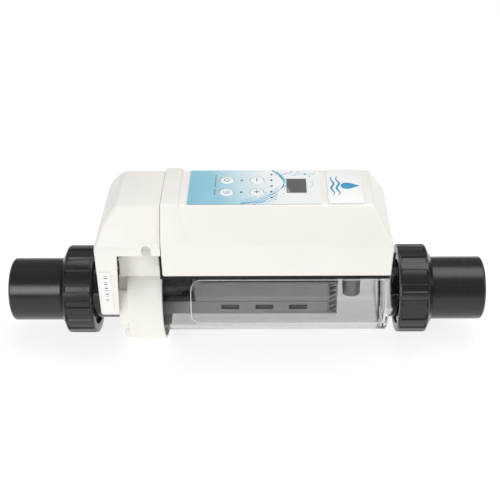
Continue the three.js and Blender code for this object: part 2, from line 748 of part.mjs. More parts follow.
const lampPlaces = [
  ...LAMPS.levels.map((y) => [LAMPS.levelX, y]),
  ...LAMPS.status.map((y) => [LAMPS.statusX, y]),
];
const glandPlace = [GLAND.x, GLAND.z];

/** What is taken out of the roof and its film for the keys, the lamps and the display. */
function panelHoles() {
  const low = SHELL.roof - 2 * SHELL.wall;
  const high = SHELL.roof + 2 * SHELL.wall;
  const keyRadius = KEY.radius + GAP;
  const lampRadius = LAMPS.radius + GAP;
  return [
    ...Object.values(KEYS).map((place) => bar("z", low, high, keyRadius, place, KEY.sides)),
    ...lampPlaces.map((place) => bar("z", low, high, lampRadius, place, LAMPS.sides)),
    block(
      [DISPLAY.left - GAP, DISPLAY.near - GAP, low],
      [DISPLAY.right + GAP, DISPLAY.far + GAP, high],
    ),
  ];
}

function controllerCover() {
  const { left, right, roofRight, bottom } = COVER;
  const t = SHELL.wall;
  const outer = convex([
    [left, SHELL.half, bottom],
    [left, SHELL.half, SHELL.crease],
    [left, SHELL.roofHalf, SHELL.roof],
    [roofRight, SHELL.roofHalf, SHELL.roof],
    [right, SHELL.half, SHELL.crease],
    [right - 1, SHELL.half, bottom],
  ]);
  // A proud rim beside the seam frames the keypad and dies into the lower wall.
  const rim = convex([
    [left, SHELL.half, bottom],
    [left, SHELL.half, RIM.crease],
    [left, RIM.roofHalf, RIM.roof],
    [RIM.topRight, RIM.roofHalf, RIM.roof],
    [RIM.sideRight, SHELL.half, RIM.crease],
    [RIM.footTop, SHELL.roofHalf, SHELL.roof],
    [RIM.footSide, SHELL.half, SHELL.crease],
    [RIM.footSide, SHELL.half, bottom],
  ]);
  const inside = convex([
    [left + t, SHELL.half - t, bottom - 1],
    [left + t, SHELL.half - t, SHELL.crease - 1],
    [left + t, SHELL.roofHalf - SHELL.insetRoof, SHELL.roof - t],
    [roofRight - SHELL.insetRoof, SHELL.roofHalf - SHELL.insetRoof, SHELL.roof - t],
    [right - t, SHELL.half - t, SHELL.crease - 1],
    [right - t - 1, SHELL.half - t, bottom - 1],
  ]);
  const { radius, bottom: postBottom, top: postTop } = COVER.posts;
  const posts = COVER_SCREWS.map((place) =>
    bar("z", postBottom, postTop, radius, place).intersect(outer),
  );
  const postHoles = COVER_SCREWS.map((place) =>
    bar("z", bottom, COVER.postHole, SCREW.tapped, place, SCREW.sides),
  );
  const glandRadius = GLAND.radius + GAP;
  const glandHole = bar("y", BASE.half - t, SHELL.half + 1, glandRadius, glandPlace, GLAND.sides);
  const leadHole = bar("x", left - 1, left + t + 1, LEAD.hole.radius, [0, LEAD.hole.z], 24);
  const shell = cut(join(outer, rim), inside);
  return cut(join(shell, ...posts), ...postHoles, ...panelHoles(), glandHole, leadHole);
}
add("controller_cover", controllerCover(), IVORY);

// ---- End cap over the terminals ---------------------------------------------------------------

function endCap() {
  const { left, right, roofLeft, bottom, bulge, apronRight, apronBottom, apronChamfer } = CAP;
  const t = SHELL.wall;
  const hood = convex([
    [right, SHELL.half, bottom],
    [right, SHELL.half, SHELL.crease],
    [right, SHELL.roofHalf, SHELL.roof],
    [roofLeft, SHELL.roofHalf, SHELL.roof],
    [bulge.x, bulge.half, bulge.z],
    [left, SHELL.half, SHELL.crease],
    [left, SHELL.half, bottom],
  ]);
  const apron = convex([
    [left, SHELL.half, bottom + 1],
    [apronRight.top, SHELL.half, bottom + 1],
    [left, SHELL.half, apronBottom + apronChamfer],
    [left + apronChamfer, SHELL.half, apronBottom],
    [apronRight.bottom, SHELL.half, apronBottom],
  ]);
  const inside = join(
    convex([
      [right + 1, SHELL.half - t, bottom - 1],
      [right + 1, SHELL.half - t, SHELL.crease - 1],
      [right + 1, SHELL.roofHalf - SHELL.insetRoof, SHELL.roof - t],
      [roofLeft + SHELL.insetRoof, SHELL.roofHalf - SHELL.insetRoof, SHELL.roof - t],
      [left + t, SHELL.half - t, SHELL.crease - 1],
      [left + t, SHELL.half - t, bottom - 1],
    ]),
    block([left + t + 1, -SHELL.half + t, apronBottom - 1], [right, SHELL.half - t, bottom]),
  );
  const arch = join(
    bar("x", left - 1, left + 3 * t, CAP.archRadius, [0, 0], SEGMENTS),
    block([left - 1, -CAP.archRadius, -CAP.archRadius], [left + 3 * t, CAP.archRadius, 0]),
  );
  // A screw pocket in each side wall, open at its lower edge.
  const { x, z, radius, floor, wall: around } = NOTCH;
  const pockets = [-1, 1].map((side) => {
    const [y0, y1] = inOrder(side * (floor - around), side * (SHELL.half - 1));
    const reach = radius + around;
    return block([x - reach, y0, bottom], [x + reach, y1, z + reach]).intersect(hood);
  });
  const notches = [-1, 1].map((side) => {
    const [y0, y1] = inOrder(side * floor, side * (SHELL.half + 1));
    return join(
      bar("y", y0, y1, radius, [x, z], 20),
      block([x - radius, y0, bottom - 1], [x + radius, y1, z]),
    );
  });
  const screwHole = bar("y", -SHELL.half, SHELL.half, SCREW.clear, [x, z], HOLE_SEGMENTS);
  const shell = cut(join(hood, apron), inside, arch);
  return cut(join(shell, ...pockets), ...notches, screwHole);
}
add("end_cap", endCap(), IVORY);

/** The tray that stands on the lock ring, fills the gap under the hood and takes its two screws. */
function terminalTray() {
  const { left, right, half, bottom, top, wall, clearance, leadWay } = TRAY;
  const walls = frameOf(
    [left, -half, bottom],
    [right, half, top],
    [left + wall, wall - half, bottom - 1],
    [right - wall, half - wall, top + 1],
  );
  const screwBar = block(
    [TRAY.bar.left, -TRAY.bar.half, TRAY.bar.bottom],
    [right - 0.5, TRAY.bar.half, top],
  );
  const ringSpace = bar("x", left - 1, right + 1, RING.radius + clearance, [0, 0], SEGMENTS);
  const screwHole = bar("y", -SHELL.half, SHELL.half, SCREW.tapped, [NOTCH.x, NOTCH.z], 10);
  const forLeads = block(
    [left - 1, -leadWay.half, leadWay.bottom],
    [left + wall + 1, leadWay.half, top + 1],
  );
  return cut(join(walls, screwBar), ringSpace, screwHole, forLeads);
}
add("terminal_tray", terminalTray(), IVORY);

/** A screw through an end cap's side wall into the tray. */
function capScrew(side) {
  const from = NOTCH.floor + GAP;
  const place = [NOTCH.x, NOTCH.z];
  const head = bar("y", ...inOrder(side * from, side * (from + SCREW.headHeight)), SCREW.head, place);
  const span = inOrder(side * NOTCH.screwTip, side * (from + 1));
  return join(head, bar("y", ...span, SCREW.shank, place, SCREW.sides));
}
add("cap_screw_front", capScrew(-1), STEEL);
add("cap_screw_rear", capScrew(1), STEEL);

add(
  "rating_label",
  block([LABEL.left, -SHELL.half - 0.5, LABEL.bottom], [LABEL.right, -SHELL.half - GAP, LABEL.top]),
  WHITE,
);

/** The gland for the supply cable, low on the rear wall: a threaded body, a hex and a dome. */
function cableGland() {
  const { radius, sides, lengths, bore } = GLAND;
  const wallFace = SHELL.half;
  const along = (from, to, size, corners = sides) =>
    bar("y", wallFace + from, wallFace + to, size, glandPlace, corners);
  return cut(
    join(
      along(-lengths.inside, 1, radius - 0.4),
      along(GAP, lengths.hex, radius + 3, 6),
      along(lengths.hex - 1, lengths.dome, radius),
      along(lengths.dome - 1, lengths.nose, radius - 2),
    ),
    along(-lengths.inside - 1, lengths.nose + 1, bore, 16),
  );
}
add("cable_gland", cableGland(), RUBBER);

// ---- Keypad, display and lamps ----------------------------------------------------------------

function panelOverlay() {
  const { left, right, half, bottom, top } = OVERLAY;
  return cut(block([left, -half, bottom], [right, half, top]), ...panelHoles());
}
add("panel_overlay", panelOverlay(), PANEL);

add(
  "name_plate",
  block(
    [NAME_PLATE.left, -OVERLAY.half, OVERLAY.bottom],
    [NAME_PLATE.right, OVERLAY.half, NAME_PLATE.top],
  ),
  WHITE,
);

for (const [name, place] of Object.entries(KEYS)) {
  const button = bar("z", KEY.bottom, KEY.top, KEY.radius, place, KEY.sides);
  const stem = bar("z", KEY.stemBottom, KEY.bottom + 0.5, KEY.stem, place, HOLE_SEGMENTS);
  add(name, join(button, stem), WHITE);
}

/** One clear moulding carries light to the five level lamps and the two status lamps. */
function lightPipe() {
  const { near, far, half, bottom, top } = LAMPS.rail;
  const rail = (x) => block([x - half, near, bottom], [x + half, far, top]);
  const bridge = block([LAMPS.statusX, near, bottom], [LAMPS.levelX, near + 2 * half, top]);
  const pips = lampPlaces.map((place) =>
    bar("z", top - 0.6, LAMPS.top, LAMPS.radius, place, LAMPS.sides),
  );
  return join(rail(LAMPS.levelX), rail(LAMPS.statusX), bridge, ...pips);
}
add("light_pipe", lightPipe(), CLEAR);

add(
  "display_window",
  block([DISPLAY.left, DISPLAY.near, DISPLAY.bottom], [DISPLAY.right, DISPLAY.far, DISPLAY.top]),
  SMOKED,
);
add("display_module", block(DISPLAY_MODULE.low, DISPLAY_MODULE.high), BLACK);

/** The keypad's board, with a tact switch under each key. */
function keypadBoard() {
  const { left, right, half, bottom, top, switchHalf } = KEYPAD_BOARD;
  const board = block([left, -half, bottom], [right, half, top]);
  const switches = Object.values(KEYS).map(([x, y]) =>
    block(
      [x - switchHalf, y - switchHalf, top - 0.6],
      [x + switchHalf, y + switchHalf, KEY.stemBottom - 0.8],
    ),
  );
  return join(board, ...switches);
}
add("keypad_board", keypadBoard(), BOARD);

// ---- Power electronics ------------------------------------------------------------------------

/** The main board, with two reservoir capacitors and a relay soldered on. */
function mainBoard() {
  const { left, right, half, bottom, top } = MAIN_BOARD;
  const board = block([left, -half, bottom], [right, half, top]);
  const inBoard = top - 0.6;
  const capacitors = CAPACITORS.ys.map((y) =>
    bar("z", inBoard, CAPACITORS.top, CAPACITORS.radius, [CAPACITORS.x, y], 20),
  );
  const relay = block([...RELAY.low, inBoard], [...RELAY.high, RELAY.top]);
  return join(board, ...capacitors, relay);
}
add("main_board", mainBoard(), BOARD);

add(
  "transformer_core",
  frameOf(
    [CORE.left, -CORE.half, CORE.bottom],
    [CORE.right, CORE.half, CORE.top],
    [CORE.left + CORE.limb, -CORE.half - 1, CORE.bottom + CORE.limb],
    [CORE.right - CORE.limb, CORE.half + 1, CORE.top - CORE.limb],
  ),
  SILVER,
);
const windingInset = CORE.limb + GAP;
add(
  "transformer_winding",
  block(
    [CORE.left + windingInset, -WINDING_HALF, CORE.bottom + windingInset],
    [CORE.right - windingInset, WINDING_HALF, CORE.top - windingInset],
  ),
  COPPER,
);

function heatSink() {
  const { left, right, half, bottom, foot, top, fins } = HEAT_SINK;
  const plate = block([left, -half, bottom], [right, half, bottom + foot]);
  const lefts = Array.from({ length: fins.count }, (_, i) => fins.first + fins.pitch * i);
  const standing = lefts.map((x) =>
    block([x, -half, bottom + foot - 1], [x + fins.thickness, half, top]),
  );
  return join(plate, ...standing);
}
add("heat_sink", heatSink(), SILVER);

/** The flat cable between the two boards. */
function ribbonCable() {
  const { bottom, top, lowX, highX, thickness, width, bend } = RIBBON;
  const side = new THREE.Shape();
  side.moveTo(highX, top);
  side.lineTo(highX, bend.end);
  side.quadraticCurveTo(highX, bend.middle, bend.x, bend.start);
  side.lineTo(lowX, bottom);
  side.lineTo(lowX + thickness, bottom);
  side.lineTo(bend.x + thickness, bend.start);
  side.quadraticCurveTo(highX + thickness, bend.middle, highX + thickness, bend.end);
  side.lineTo(highX + thickness, top);
  const settings = { depth: width, bevelEnabled: false, curveSegments: 3 };
  const geometry = new THREE.ExtrudeGeometry(side, settings);
  // The shape's own x, y and depth become X, Z and -Y.
  return solid(geometry.rotateX(Math.PI / 2).translate(0, width / 2, 0));
}
add("ribbon_cable", ribbonCable(), GREY);

export default generator;
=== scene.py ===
"""The looks of an inline salt chlorine generator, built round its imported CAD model.

Outlines are in millimetres and turn to metres as a mesh is made. As in the CAD model, +X runs along
the pipe to its outlet, +Z is up and the front is at -Y.
"""

import json
import math

import bmesh
import bpy
from mathutils import Matrix, Vector


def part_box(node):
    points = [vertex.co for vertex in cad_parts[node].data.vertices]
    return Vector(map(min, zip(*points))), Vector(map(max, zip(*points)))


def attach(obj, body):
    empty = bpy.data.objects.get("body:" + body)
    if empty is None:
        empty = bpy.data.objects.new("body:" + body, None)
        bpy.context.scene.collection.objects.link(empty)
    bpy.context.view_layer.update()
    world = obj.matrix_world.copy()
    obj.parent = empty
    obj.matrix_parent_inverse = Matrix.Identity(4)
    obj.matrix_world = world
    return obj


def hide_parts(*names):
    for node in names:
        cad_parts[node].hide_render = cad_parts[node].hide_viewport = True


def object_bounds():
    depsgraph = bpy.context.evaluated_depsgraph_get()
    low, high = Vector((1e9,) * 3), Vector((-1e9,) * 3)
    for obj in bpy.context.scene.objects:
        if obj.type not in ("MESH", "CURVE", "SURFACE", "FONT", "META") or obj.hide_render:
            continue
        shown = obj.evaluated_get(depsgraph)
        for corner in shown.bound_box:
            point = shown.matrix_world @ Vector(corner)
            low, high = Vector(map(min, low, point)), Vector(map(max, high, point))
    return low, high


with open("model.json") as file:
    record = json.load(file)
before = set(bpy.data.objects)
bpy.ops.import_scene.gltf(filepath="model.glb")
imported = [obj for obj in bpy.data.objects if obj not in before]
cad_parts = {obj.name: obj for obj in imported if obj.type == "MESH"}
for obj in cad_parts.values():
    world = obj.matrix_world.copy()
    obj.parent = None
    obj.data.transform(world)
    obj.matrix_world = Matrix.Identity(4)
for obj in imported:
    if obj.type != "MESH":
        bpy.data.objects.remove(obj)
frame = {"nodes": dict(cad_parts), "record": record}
cad_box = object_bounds()
MM = 0.001
GAP = 0.3  # what the CAD model leaves between pieces that touch
TAU = 2 * math.pi


def box_mm(node):
    """A CAD node's lowest and highest corners in millimetres."""
    low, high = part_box(node)
    return low / MM, high / MM


def middle_mm(node):
    """The middle of a CAD node's box in millimetres."""
    low, high = box_mm(node)
    return (low + high) / 2


def linked(name, data):
    """A new object of that mesh, lamp or camera in the scene."""
    thing = bpy.data.objects.new(name, data)
    bpy.context.scene.collection.objects.link(thing)
    return thing


# ---- Camera ----


CAMERA_PLACE = (0.0249, -0.7969, 0.5712)  # in metres
CAMERA_TURN = (33.4, 1.5, -1.05)  # elevation, azimuth and roll in degrees
CAMERA_LENS = 70.56  # in millimetres, on a sensor 36 mm wide


def add_camera():
    """A view from the front that looks down on the cover."""
    elevation, azimuth, roll = (math.radians(a) for a in CAMERA_TURN)
    level = math.cos(elevation)
    sight = Vector((-math.sin(azimuth) * level, math.cos(azimuth) * level, -math.sin(elevation)))
    data = bpy.data.cameras.new("camera")
    data.sensor_width = 36
    data.lens = CAMERA_LENS
    camera = linked("camera", data)
    camera.location = CAMERA_PLACE
    turn = sight.to_track_quat("-Z", "Y") @ Matrix.Rotation(roll, 3, "Z").to_quaternion()
    camera.rotation_euler = turn.to_euler()
    bpy.context.scene.camera = camera


add_camera()

# ---- Node materials ----


class Look:
    """A material whose detail comes from nodes that read the object's own coordinates."""

    def __init__(self, name, colour, roughness, **sockets):
        self.material = bpy.data.materials.new(name)
        self.material.use_nodes = True
        self.tree = self.material.node_tree
        self.shader = self.tree.nodes["Principled BSDF"]
        self.colour = (*colour, 1.0)
        self.put("Base Color", self.colour)
        self.put("Roughness", roughness)
        for socket, value in sockets.items():
            self.put(socket.replace("_", " "), value)
        self.place = self.add("ShaderNodeTexCoord").outputs["Object"]

    def add(self, kind, **inputs):
        """A node with its inputs set or linked by name."""
        node = self.tree.nodes.new(kind)
        for name, value in inputs.items():
            self.feed(node.inputs[name.replace("_", " ")], value)
        return node

    def feed(self, socket, value):
        if isinstance(value, bpy.types.NodeSocket):
            self.tree.links.new(value, socket)
        else:
            socket.default_value = value

    def put(self, socket, value):
        self.feed(self.shader.inputs[socket], value)

    def stretched(self, scale):
        """The object's coordinates, scaled along each axis."""
        return self.add("ShaderNodeMapping", Vector=self.place, Scale=scale).outputs["Vector"]

    def noise(self, scale, detail=2.0, stretch=(1, 1, 1), distortion=0.0):
        more = {"Scale": scale, "Detail": detail, "Distortion": distortion}
        return self.add("ShaderNodeTexNoise", Vector=self.stretched(stretch), **more).outputs["Fac"]

    def ranged(self, value, low, high, start=0.0, end=1.0):
        """The value with its range from low to high node one from start to end."""
        ends = {"From_Min": low, "From_Max": high, "To_Min": start, "To_Max": end}
        return self.add("ShaderNodeMapRange", Value=value, **ends).outputs["Result"]

    def maths(self, operation, a, b):
        node = self.add("ShaderNodeMath")
        node.operation = operation
        self.feed(node.inputs[0], a)
        self.feed(node.inputs[1], b)
        return node.outputs[0]

    def blend(self, factor, first, second):
        """Two colours mixed by a factor."""
        node = self.tree.nodes.new("ShaderNodeMix")
        node.data_type = "RGBA"
        for index, value in ((0, factor), (6, first), (7, second)):
            self.feed(node.inputs[index], value)
        return node.outputs[2]

    def bump(self, height, distance, strength=1.0, under=None):
        """Relief of that depth in metres, over an earlier bump if there is one."""
        node = self.add("ShaderNodeBump", Height=height, Distance=distance, Strength=strength)
        if under is not None:
            self.feed(node.inputs["Normal"], under)
        return node.outputs["Normal"]

    def shade(self, factor, amount):
        """The material's own colour, darker and lighter by that share as the factor changes."""
        dark = tuple(c * (1 - amount) for c in self.colour[:3]) + (1.0,)
        light = tuple(min(1.0, c * (1 + amount)) for c in self.colour[:3]) + (1.0,)
        return self.blend(factor, dark, light)

    def paint(self, colour):
        self.put("Base Color", colour)

    def gloss(self, noise, low, high):
        """Roughness that wanders between two values."""
        self.put("Roughness", self.ranged(noise, 0.3, 0.7, low, high))

    def relief(self, *bump):
        self.put("Normal", self.bump(*bump))


def moulded(name, colour, roughness, mottle=0.03, grain=0.00002, spread=0.08, **sockets):
    """Injection-moulded plastic: flow mottle, a fine spark-eroded grain and uneven gloss."""
    look = Look(name, colour, roughness, **sockets)
    flow = look.noise(22, 3.0, distortion=0.4)
    look.paint(look.shade(look.ranged(flow, 0.3, 0.7), mottle))
    cloud = look.noise(70, 4.0)
    look.gloss(cloud, roughness - spread, roughness + spread)
    sink = look.bump(look.noise(35, 1.0), 0.0004, 0.25)
    look.relief(look.noise(2600, 1.0), grain, 0.6, sink)
    return look


def black_plastic():
    """Black union plastic, polished by its mould, with drawn streaks and handling scuffs."""
    look = moulded("black_plastic", (0.012, 0.012, 0.0125), 0.25, mottle=0.15, grain=0.000008)
    streaks = look.noise(9, 3.0, stretch=(2, 50, 50))
    scuffs = look.noise(260, 3.0, stretch=(1, 0.25, 1), distortion=1.2)
    worn = look.ranged(scuffs, 0.64, 0.76)
    gloss = look.ranged(streaks, 0.3, 0.7, 0.2, 0.28)
    look.put("Roughness", look.maths("ADD", gloss, look.maths("MULTIPLY", worn, 0.1)))
    look.paint(look.blend(worn, look.shade(streaks, 0.1), (0.024, 0.024, 0.025, 1)))
    return look.material


def clear_plastic():
    """Clear polycarbonate that lets lamps through, so that what is inside is lit."""
    look = Look("clear_plastic", (0.7, 0.7, 0.7), 0.03, IOR=1.22, Transmission_Weight=1.0)
    ripple = look.bump(look.noise(28, 2.0), 0.0006, 0.12)
    look.relief(look.noise(300, 2.0), 0.00004, 0.08, ripple)
    haze = look.noise(90, 3.0)
    look.gloss(haze, 0.01, 0.06)
    shadow = look.add("ShaderNodeLightPath").outputs["Is Shadow Ray"]
    through = look.add("ShaderNodeBsdfTransparent", Color=(0.93, 0.93, 0.93, 1)).outputs["BSDF"]
    mix = look.add("ShaderNodeMixShader")
    for socket, source in zip(mix.inputs, (shadow, look.shader.outputs["BSDF"], through)):
        look.feed(socket, source)
    look.feed(look.tree.nodes["Material Output"].inputs["Surface"], mix.outputs["Shader"])
    return look.material


def titanium():
    """Coated titanium plate: brushed, with a faint oxide tint."""
    look = Look("titanium", (0.4, 0.4, 0.39), 0.42, Metallic=0.6)
    grain = look.noise(30, 4.0, stretch=(1, 40, 40))
    look.gloss(grain, 0.32, 0.5)
    tint = look.noise(45, 3.0)
    look.paint(look.blend(tint, (0.38, 0.385, 0.39, 1), (0.45, 0.44, 0.42, 1)))
    look.relief(grain, 0.00003, 0.4)
    return look.material


def drawn_metal(name, colour, roughness):
    """Turned or drawn metal with fine tool marks."""
    look = Look(name, colour, roughness, Metallic=1.0)
    marks = look.noise(500, 3.0, stretch=(1, 1, 6))
    look.gloss(marks, roughness - 0.08, roughness + 0.1)
    look.paint(look.shade(look.noise(120, 2.0), 0.06))
    look.relief(marks, 0.00002, 0.5)
    return look.material


def circuit_board():
    """Green solder mask over a ground plane of copper tracks."""
    look = Look("circuit_board", (0.012, 0.13, 0.05), 0.4)
    checker = look.add("ShaderNodeTexVoronoi", Vector=look.place, Scale=420.0)
    tracks = look.ranged(checker.outputs["Distance"], 0.3, 0.36)
    look.paint(look.blend(tracks, (0.02, 0.2, 0.08, 1), (0.01, 0.1, 0.04, 1)))
    look.relief(tracks, 0.00004, 0.6)
    return look.material


def copper_winding():
    """Enamelled wire wound in layers."""
    look = Look("copper_winding", (0.33, 0.12, 0.035), 0.35, Metallic=0.9)
    wave = look.add("ShaderNodeTexWave", Vector=look.place, Scale=170.0, Distortion=0.4)
    look.paint(look.shade(wave.outputs["Fac"], 0.4))
    look.relief(wave.outputs["Fac"], 0.0002, 0.8)
    return look.material


def panel_film():
    """Printed polyester film: aqua at its left end, graded to white, with pale clouds."""
    look = Look("panel_film", (0.21, 0.53, 0.69), 0.3, Coat_Weight=0.15, Coat_Roughness=0.25)
    parts = look.add("ShaderNodeSeparateXYZ", Vector=look.place)
    drift = look.maths("MULTIPLY", look.noise(30, 2.0), 0.012)
    along = look.maths("ADD", parts.outputs["X"], drift)
    slant = look.maths("MULTIPLY", parts.outputs["Y"], 0.25)
    low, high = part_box("panel_overlay")
    share = look.ranged(look.maths("ADD", along, slant), low.x, high.x)
    ramp = look.add("ShaderNodeValToRGB", Fac=share)
    stops = ramp.color_ramp.elements
    stops[0].color = (0.22, 0.55, 0.7, 1)
    stops[1].position, stops[1].color = 0.7, (0.93, 0.94, 0.94, 1)
    for position, colour in ((0.24, (0.3, 0.61, 0.74, 1)), (0.45, (0.6, 0.79, 0.85, 1))):
        stops.new(position).color = colour
    cloud = look.ranged(look.noise(24, 1.0), 0.35, 0.65, 0.0, 0.06)
    look.paint(look.blend(cloud, ramp.outputs["Color"], (0.62, 0.8, 0.87, 1)))
    look.gloss(look.noise(18, 1.0), 0.31, 0.36)
    look.relief(look.noise(1500, 1.0), 0.000002, 0.3)
    return look.material


def smoked_window():
    """Smoked acrylic over a dark display whose cells show faintly."""
    look = Look("smoked_window", (0.06, 0.062, 0.066), 0.12, Coat_Weight=0.5, Coat_Roughness=0.05)
    cells = {"Color1": (0.1, 0.101, 0.103, 1), "Color2": (0.13, 0.131, 0.133, 1)}
    grid = look.stretched((900, 900, 900))
    look.paint(look.add("ShaderNodeTexChecker", Vector=grid, Scale=1.0, **cells).outputs["Color"])
    look.gloss(look.noise(200, 2.0), 0.08, 0.2)
    return look.material


COARSE = {"mottle": 0.1, "grain": 0.00004}
MOULDED = {
    "ivory_plastic": ((0.915, 0.887, 0.84), 0.36, {"mottle": 0.012}),
    "white_plastic": ((0.93, 0.93, 0.92), 0.38, {"mottle": 0.01}),
    # frosted_plastic, near white: on the window beads it is a painted highlight
    "frosted_plastic": ((0.9, 0.9, 0.9), 0.25, {"mottle": 0.05}),
    "grey_plastic": ((0.33, 0.33, 0.33), 0.5, COARSE),
    "dark_plastic": ((0.016, 0.0165, 0.0155), 0.5, {**COARSE, "Specular_IOR_Level": 0.15}),
    "seal_rubber": ((0.014, 0.014, 0.014), 0.75, {"mottle": 0.2, "grain": 0.00006}),
    "ink_blue": ((0.05, 0.33, 0.56), 0.35, {}),
    "ink_grey": ((0.16, 0.17, 0.19), 0.4, {"mottle": 0.05}),
    "ink_pale": ((0.42, 0.7, 0.82), 0.35, {"mottle": 0.05}),
    "red_wire": ((0.33, 0.02, 0.016), 0.45, {}),
    "black_wire": ((0.014, 0.014, 0.014), 0.45, {}),
}
LOOKS = {
    name: moulded(name, colour, roughness, **more).material
    for name, (colour, roughness, more) in MOULDED.items()
}
LOOKS.update(
    black_plastic=black_plastic(),
    clear_plastic=clear_plastic(),
    titanium=titanium(),
    steel=drawn_metal("steel", (0.55, 0.55, 0.54), 0.3),
    brass=drawn_metal("brass", (0.5, 0.33, 0.11), 0.32),
    silver_metal=drawn_metal("silver_metal", (0.6, 0.61, 0.62), 0.38),
    circuit_board=circuit_board(),
    copper_winding=copper_winding(),
    panel_film=panel_film(),
    smoked_window=smoked_window(),
)

# ---- Mesh tools ----


def made(name, points, faces):
    """A smooth mesh object from points in millimetres, its faces turned out."""
    mesh = bpy.data.meshes.new(name)
    mesh.from_pydata([Vector(p) * MM for p in points], [], faces)
    shape = bmesh.new()
    shape.from_mesh(mesh)
    bmesh.ops.recalc_face_normals(shape, faces=shape.faces)
    shape.to_mesh(mesh)
    shape.free()
    return linked(name, mesh)


def placed(axis, along, a, b):
    """A point from its place along an axis and its places across it."""
    return {"x": (along, a, b), "y": (a, along, b), "z": (a, b, along)}[axis]


def belt(here, there, n):
    """The faces between two closed rings of n points, from the numbers of their first points."""
    return [(here + i, there + i, there + (i + 1) % n, here + (i + 1) % n) for i in range(n)]


def belts(rings, n, open_by=0):
    """The faces from each ring of n points to the next, round again to the first.
    An outline that isn't closed leaves the last face or faces of each ring open."""
    return [face for k in range(rings) for face in belt(k * n, (k + 1) % rings * n, n)[: n - open_by]]


def smoothed(piece):
    """Smooth shading all over."""
    piece.data.polygons.foreach_set("use_smooth", [True] * len(piece.data.polygons))


def settled(piece, body, slot, *replaced, look=None, angle=40):
    """Finishes a piece: shaded, painted, riding its body and standing for its CAD nodes.
    Edges sharper than the angle stay sharp, and its paint is its slot's, unless look names another."""
    smoothed(piece)
    piece.data.set_sharp_from_angle(angle=math.radians(angle))
    piece.data.materials.clear()
    piece.data.materials.append(LOOKS[look or slot])
    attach(piece, body)
    if replaced:
        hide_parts(*replaced)


def rounded(points, steps=4):
    """An outline of (x, y, corner radius) points with an arc at each corner."""
    outline = []
    for i, (x, y, radius) in enumerate(points):
        corner = Vector((x, y))
        back = Vector(points[i - 1][:2]) - corner
        ahead = Vector(points[(i + 1) % len(points)][:2]) - corner
        half = back.angle(ahead) / 2
        if radius == 0 or half > math.radians(89):
            outline.append((x, y))
            continue
        reach = min(radius / math.tan(half), 0.48 * back.length, 0.48 * ahead.length)
        radius = reach * math.tan(half)
        back.normalize()
        ahead.normalize()
        centre = corner + (back + ahead).normalized() * (radius / math.sin(half))
        start, end = corner + back * reach - centre, corner + ahead * reach - centre
        sweep = math.atan2(start.x * end.y - start.y * end.x, start.dot(end))
        for k in range(steps + 1):
            c, s = math.cos(sweep * k / steps), math.sin(sweep * k / steps)
            outline.append((centre.x + c * start.x - s * start.y, centre.y + s * start.x + c * start.y))
    return outline


def revolved(outline, segments, axis, centre, shape=None):
    """An outline of (along, radius) points turned about an axis, as ring after ring of points."""
    points = []
    for k in range(segments):
        angle = TAU * k / segments
        for along, radius in outline:
            r = shape(along, radius, angle) if shape else radius
            a, b = centre[0] + r * math.cos(angle), centre[1] + r * math.sin(angle)
            points.append(placed(axis, along, a, b))
    return points


def ringed(name, outline, shape=None, segments=144):
    """A closed outline of (along, radius) points turned about the pipe's axis.
    shape gives a point's radius from its place along, its radius and its angle from +Y to +Z."""
    points = revolved(outline, segments, "x", (0, 0), shape)
    return made(name, points, belts(segments, len(outline)))


def turned(name, outline, axis="z", centre=(0, 0), segments=48):
    """A solid turned from an open outline whose ends lie on the axis."""
    points = revolved(outline[1:-1], segments, axis, centre)
    n = len(outline) - 2
    faces = belts(segments, n, open_by=1)
    for place, ring in ((outline[0][0], 0), (outline[-1][0], n - 1)):
        tip = len(points)
        points.append(placed(axis, place, *centre))
        faces += [(k * n + ring, (k + 1) % segments * n + ring, tip) for k in range(segments)]
    return made(name, points, faces)


def disc_profile(low, high, radius, edge):
    """The outline of a flat round piece with softened edges, for turned."""
    outline = rounded([(low, 0, 0), (low, radius, edge), (high, radius, edge), (high, 0, 0)])
    return [(low, 0), *[p for p in outline if p[1] > 1e-6], (high, 0)]


def bore(centre, low, high, radius, axis="z", segments=48):
    """A round cutter with sharp edges."""
    return turned("bore", disc_profile(low, high, radius, 0.01), axis, centre, segments)


def slab(name, outline, low, high, axis="z"):
    """A flat outline given thickness along one axis."""
    n = len(outline)
    points = [placed(axis, height, a, b) for height in (low, high) for a, b in outline]
    return made(name, points, [tuple(range(n)), tuple(range(n, 2 * n)), *belt(0, n, n)])


def rounded_rectangle(x0, y0, x1, y1, radius):
    return rounded([(x0, y0, radius), (x1, y0, radius), (x1, y1, radius), (x0, y1, radius)], 5)


def brick(name, low, high):
    """A plain block, as a cutter or to be bevelled."""
    (x0, y0, z0), (x1, y1, z1) = low, high
    return slab(name, [(x0, y0), (x1, y0), (x1, y1), (x0, y1)], z0, z1)


def bevelled(piece, width, segments=3, angle=30, weights=None):
    """The piece with its edges rounded; weights gives an edge's share of the width from its ends."""
    if weights:
        layer = piece.data.attributes.new("bevel_weight_edge", "FLOAT", "EDGE")
        for edge in piece.data.edges:
            ends = [piece.data.vertices[v].co / MM for v in edge.vertices]
            layer.data[edge.index].value = weights(*ends)
    bevel = bevel_edges(piece, width, segments, angle)
    if weights:
        bevel.limit_method = "WEIGHT"
    return applied(piece)


def bevel_edges(piece, width, segments, angle):
    """The modifier that rounds a piece's edges that are sharper than the angle."""
    bevel = piece.modifiers.new("bevel", "BEVEL")
    bevel.width = width * MM
    bevel.segments = segments
    bevel.limit_method = "ANGLE"
    bevel.angle_limit = math.radians(angle)
    return bevel


def applied(piece):
    """The piece with its modifiers made part of its mesh."""
    graph = bpy.context.evaluated_depsgraph_get()
    mesh = bpy.data.meshes.new_from_object(piece.evaluated_get(graph))
    piece.modifiers.clear()
    piece.data = mesh
    return piece


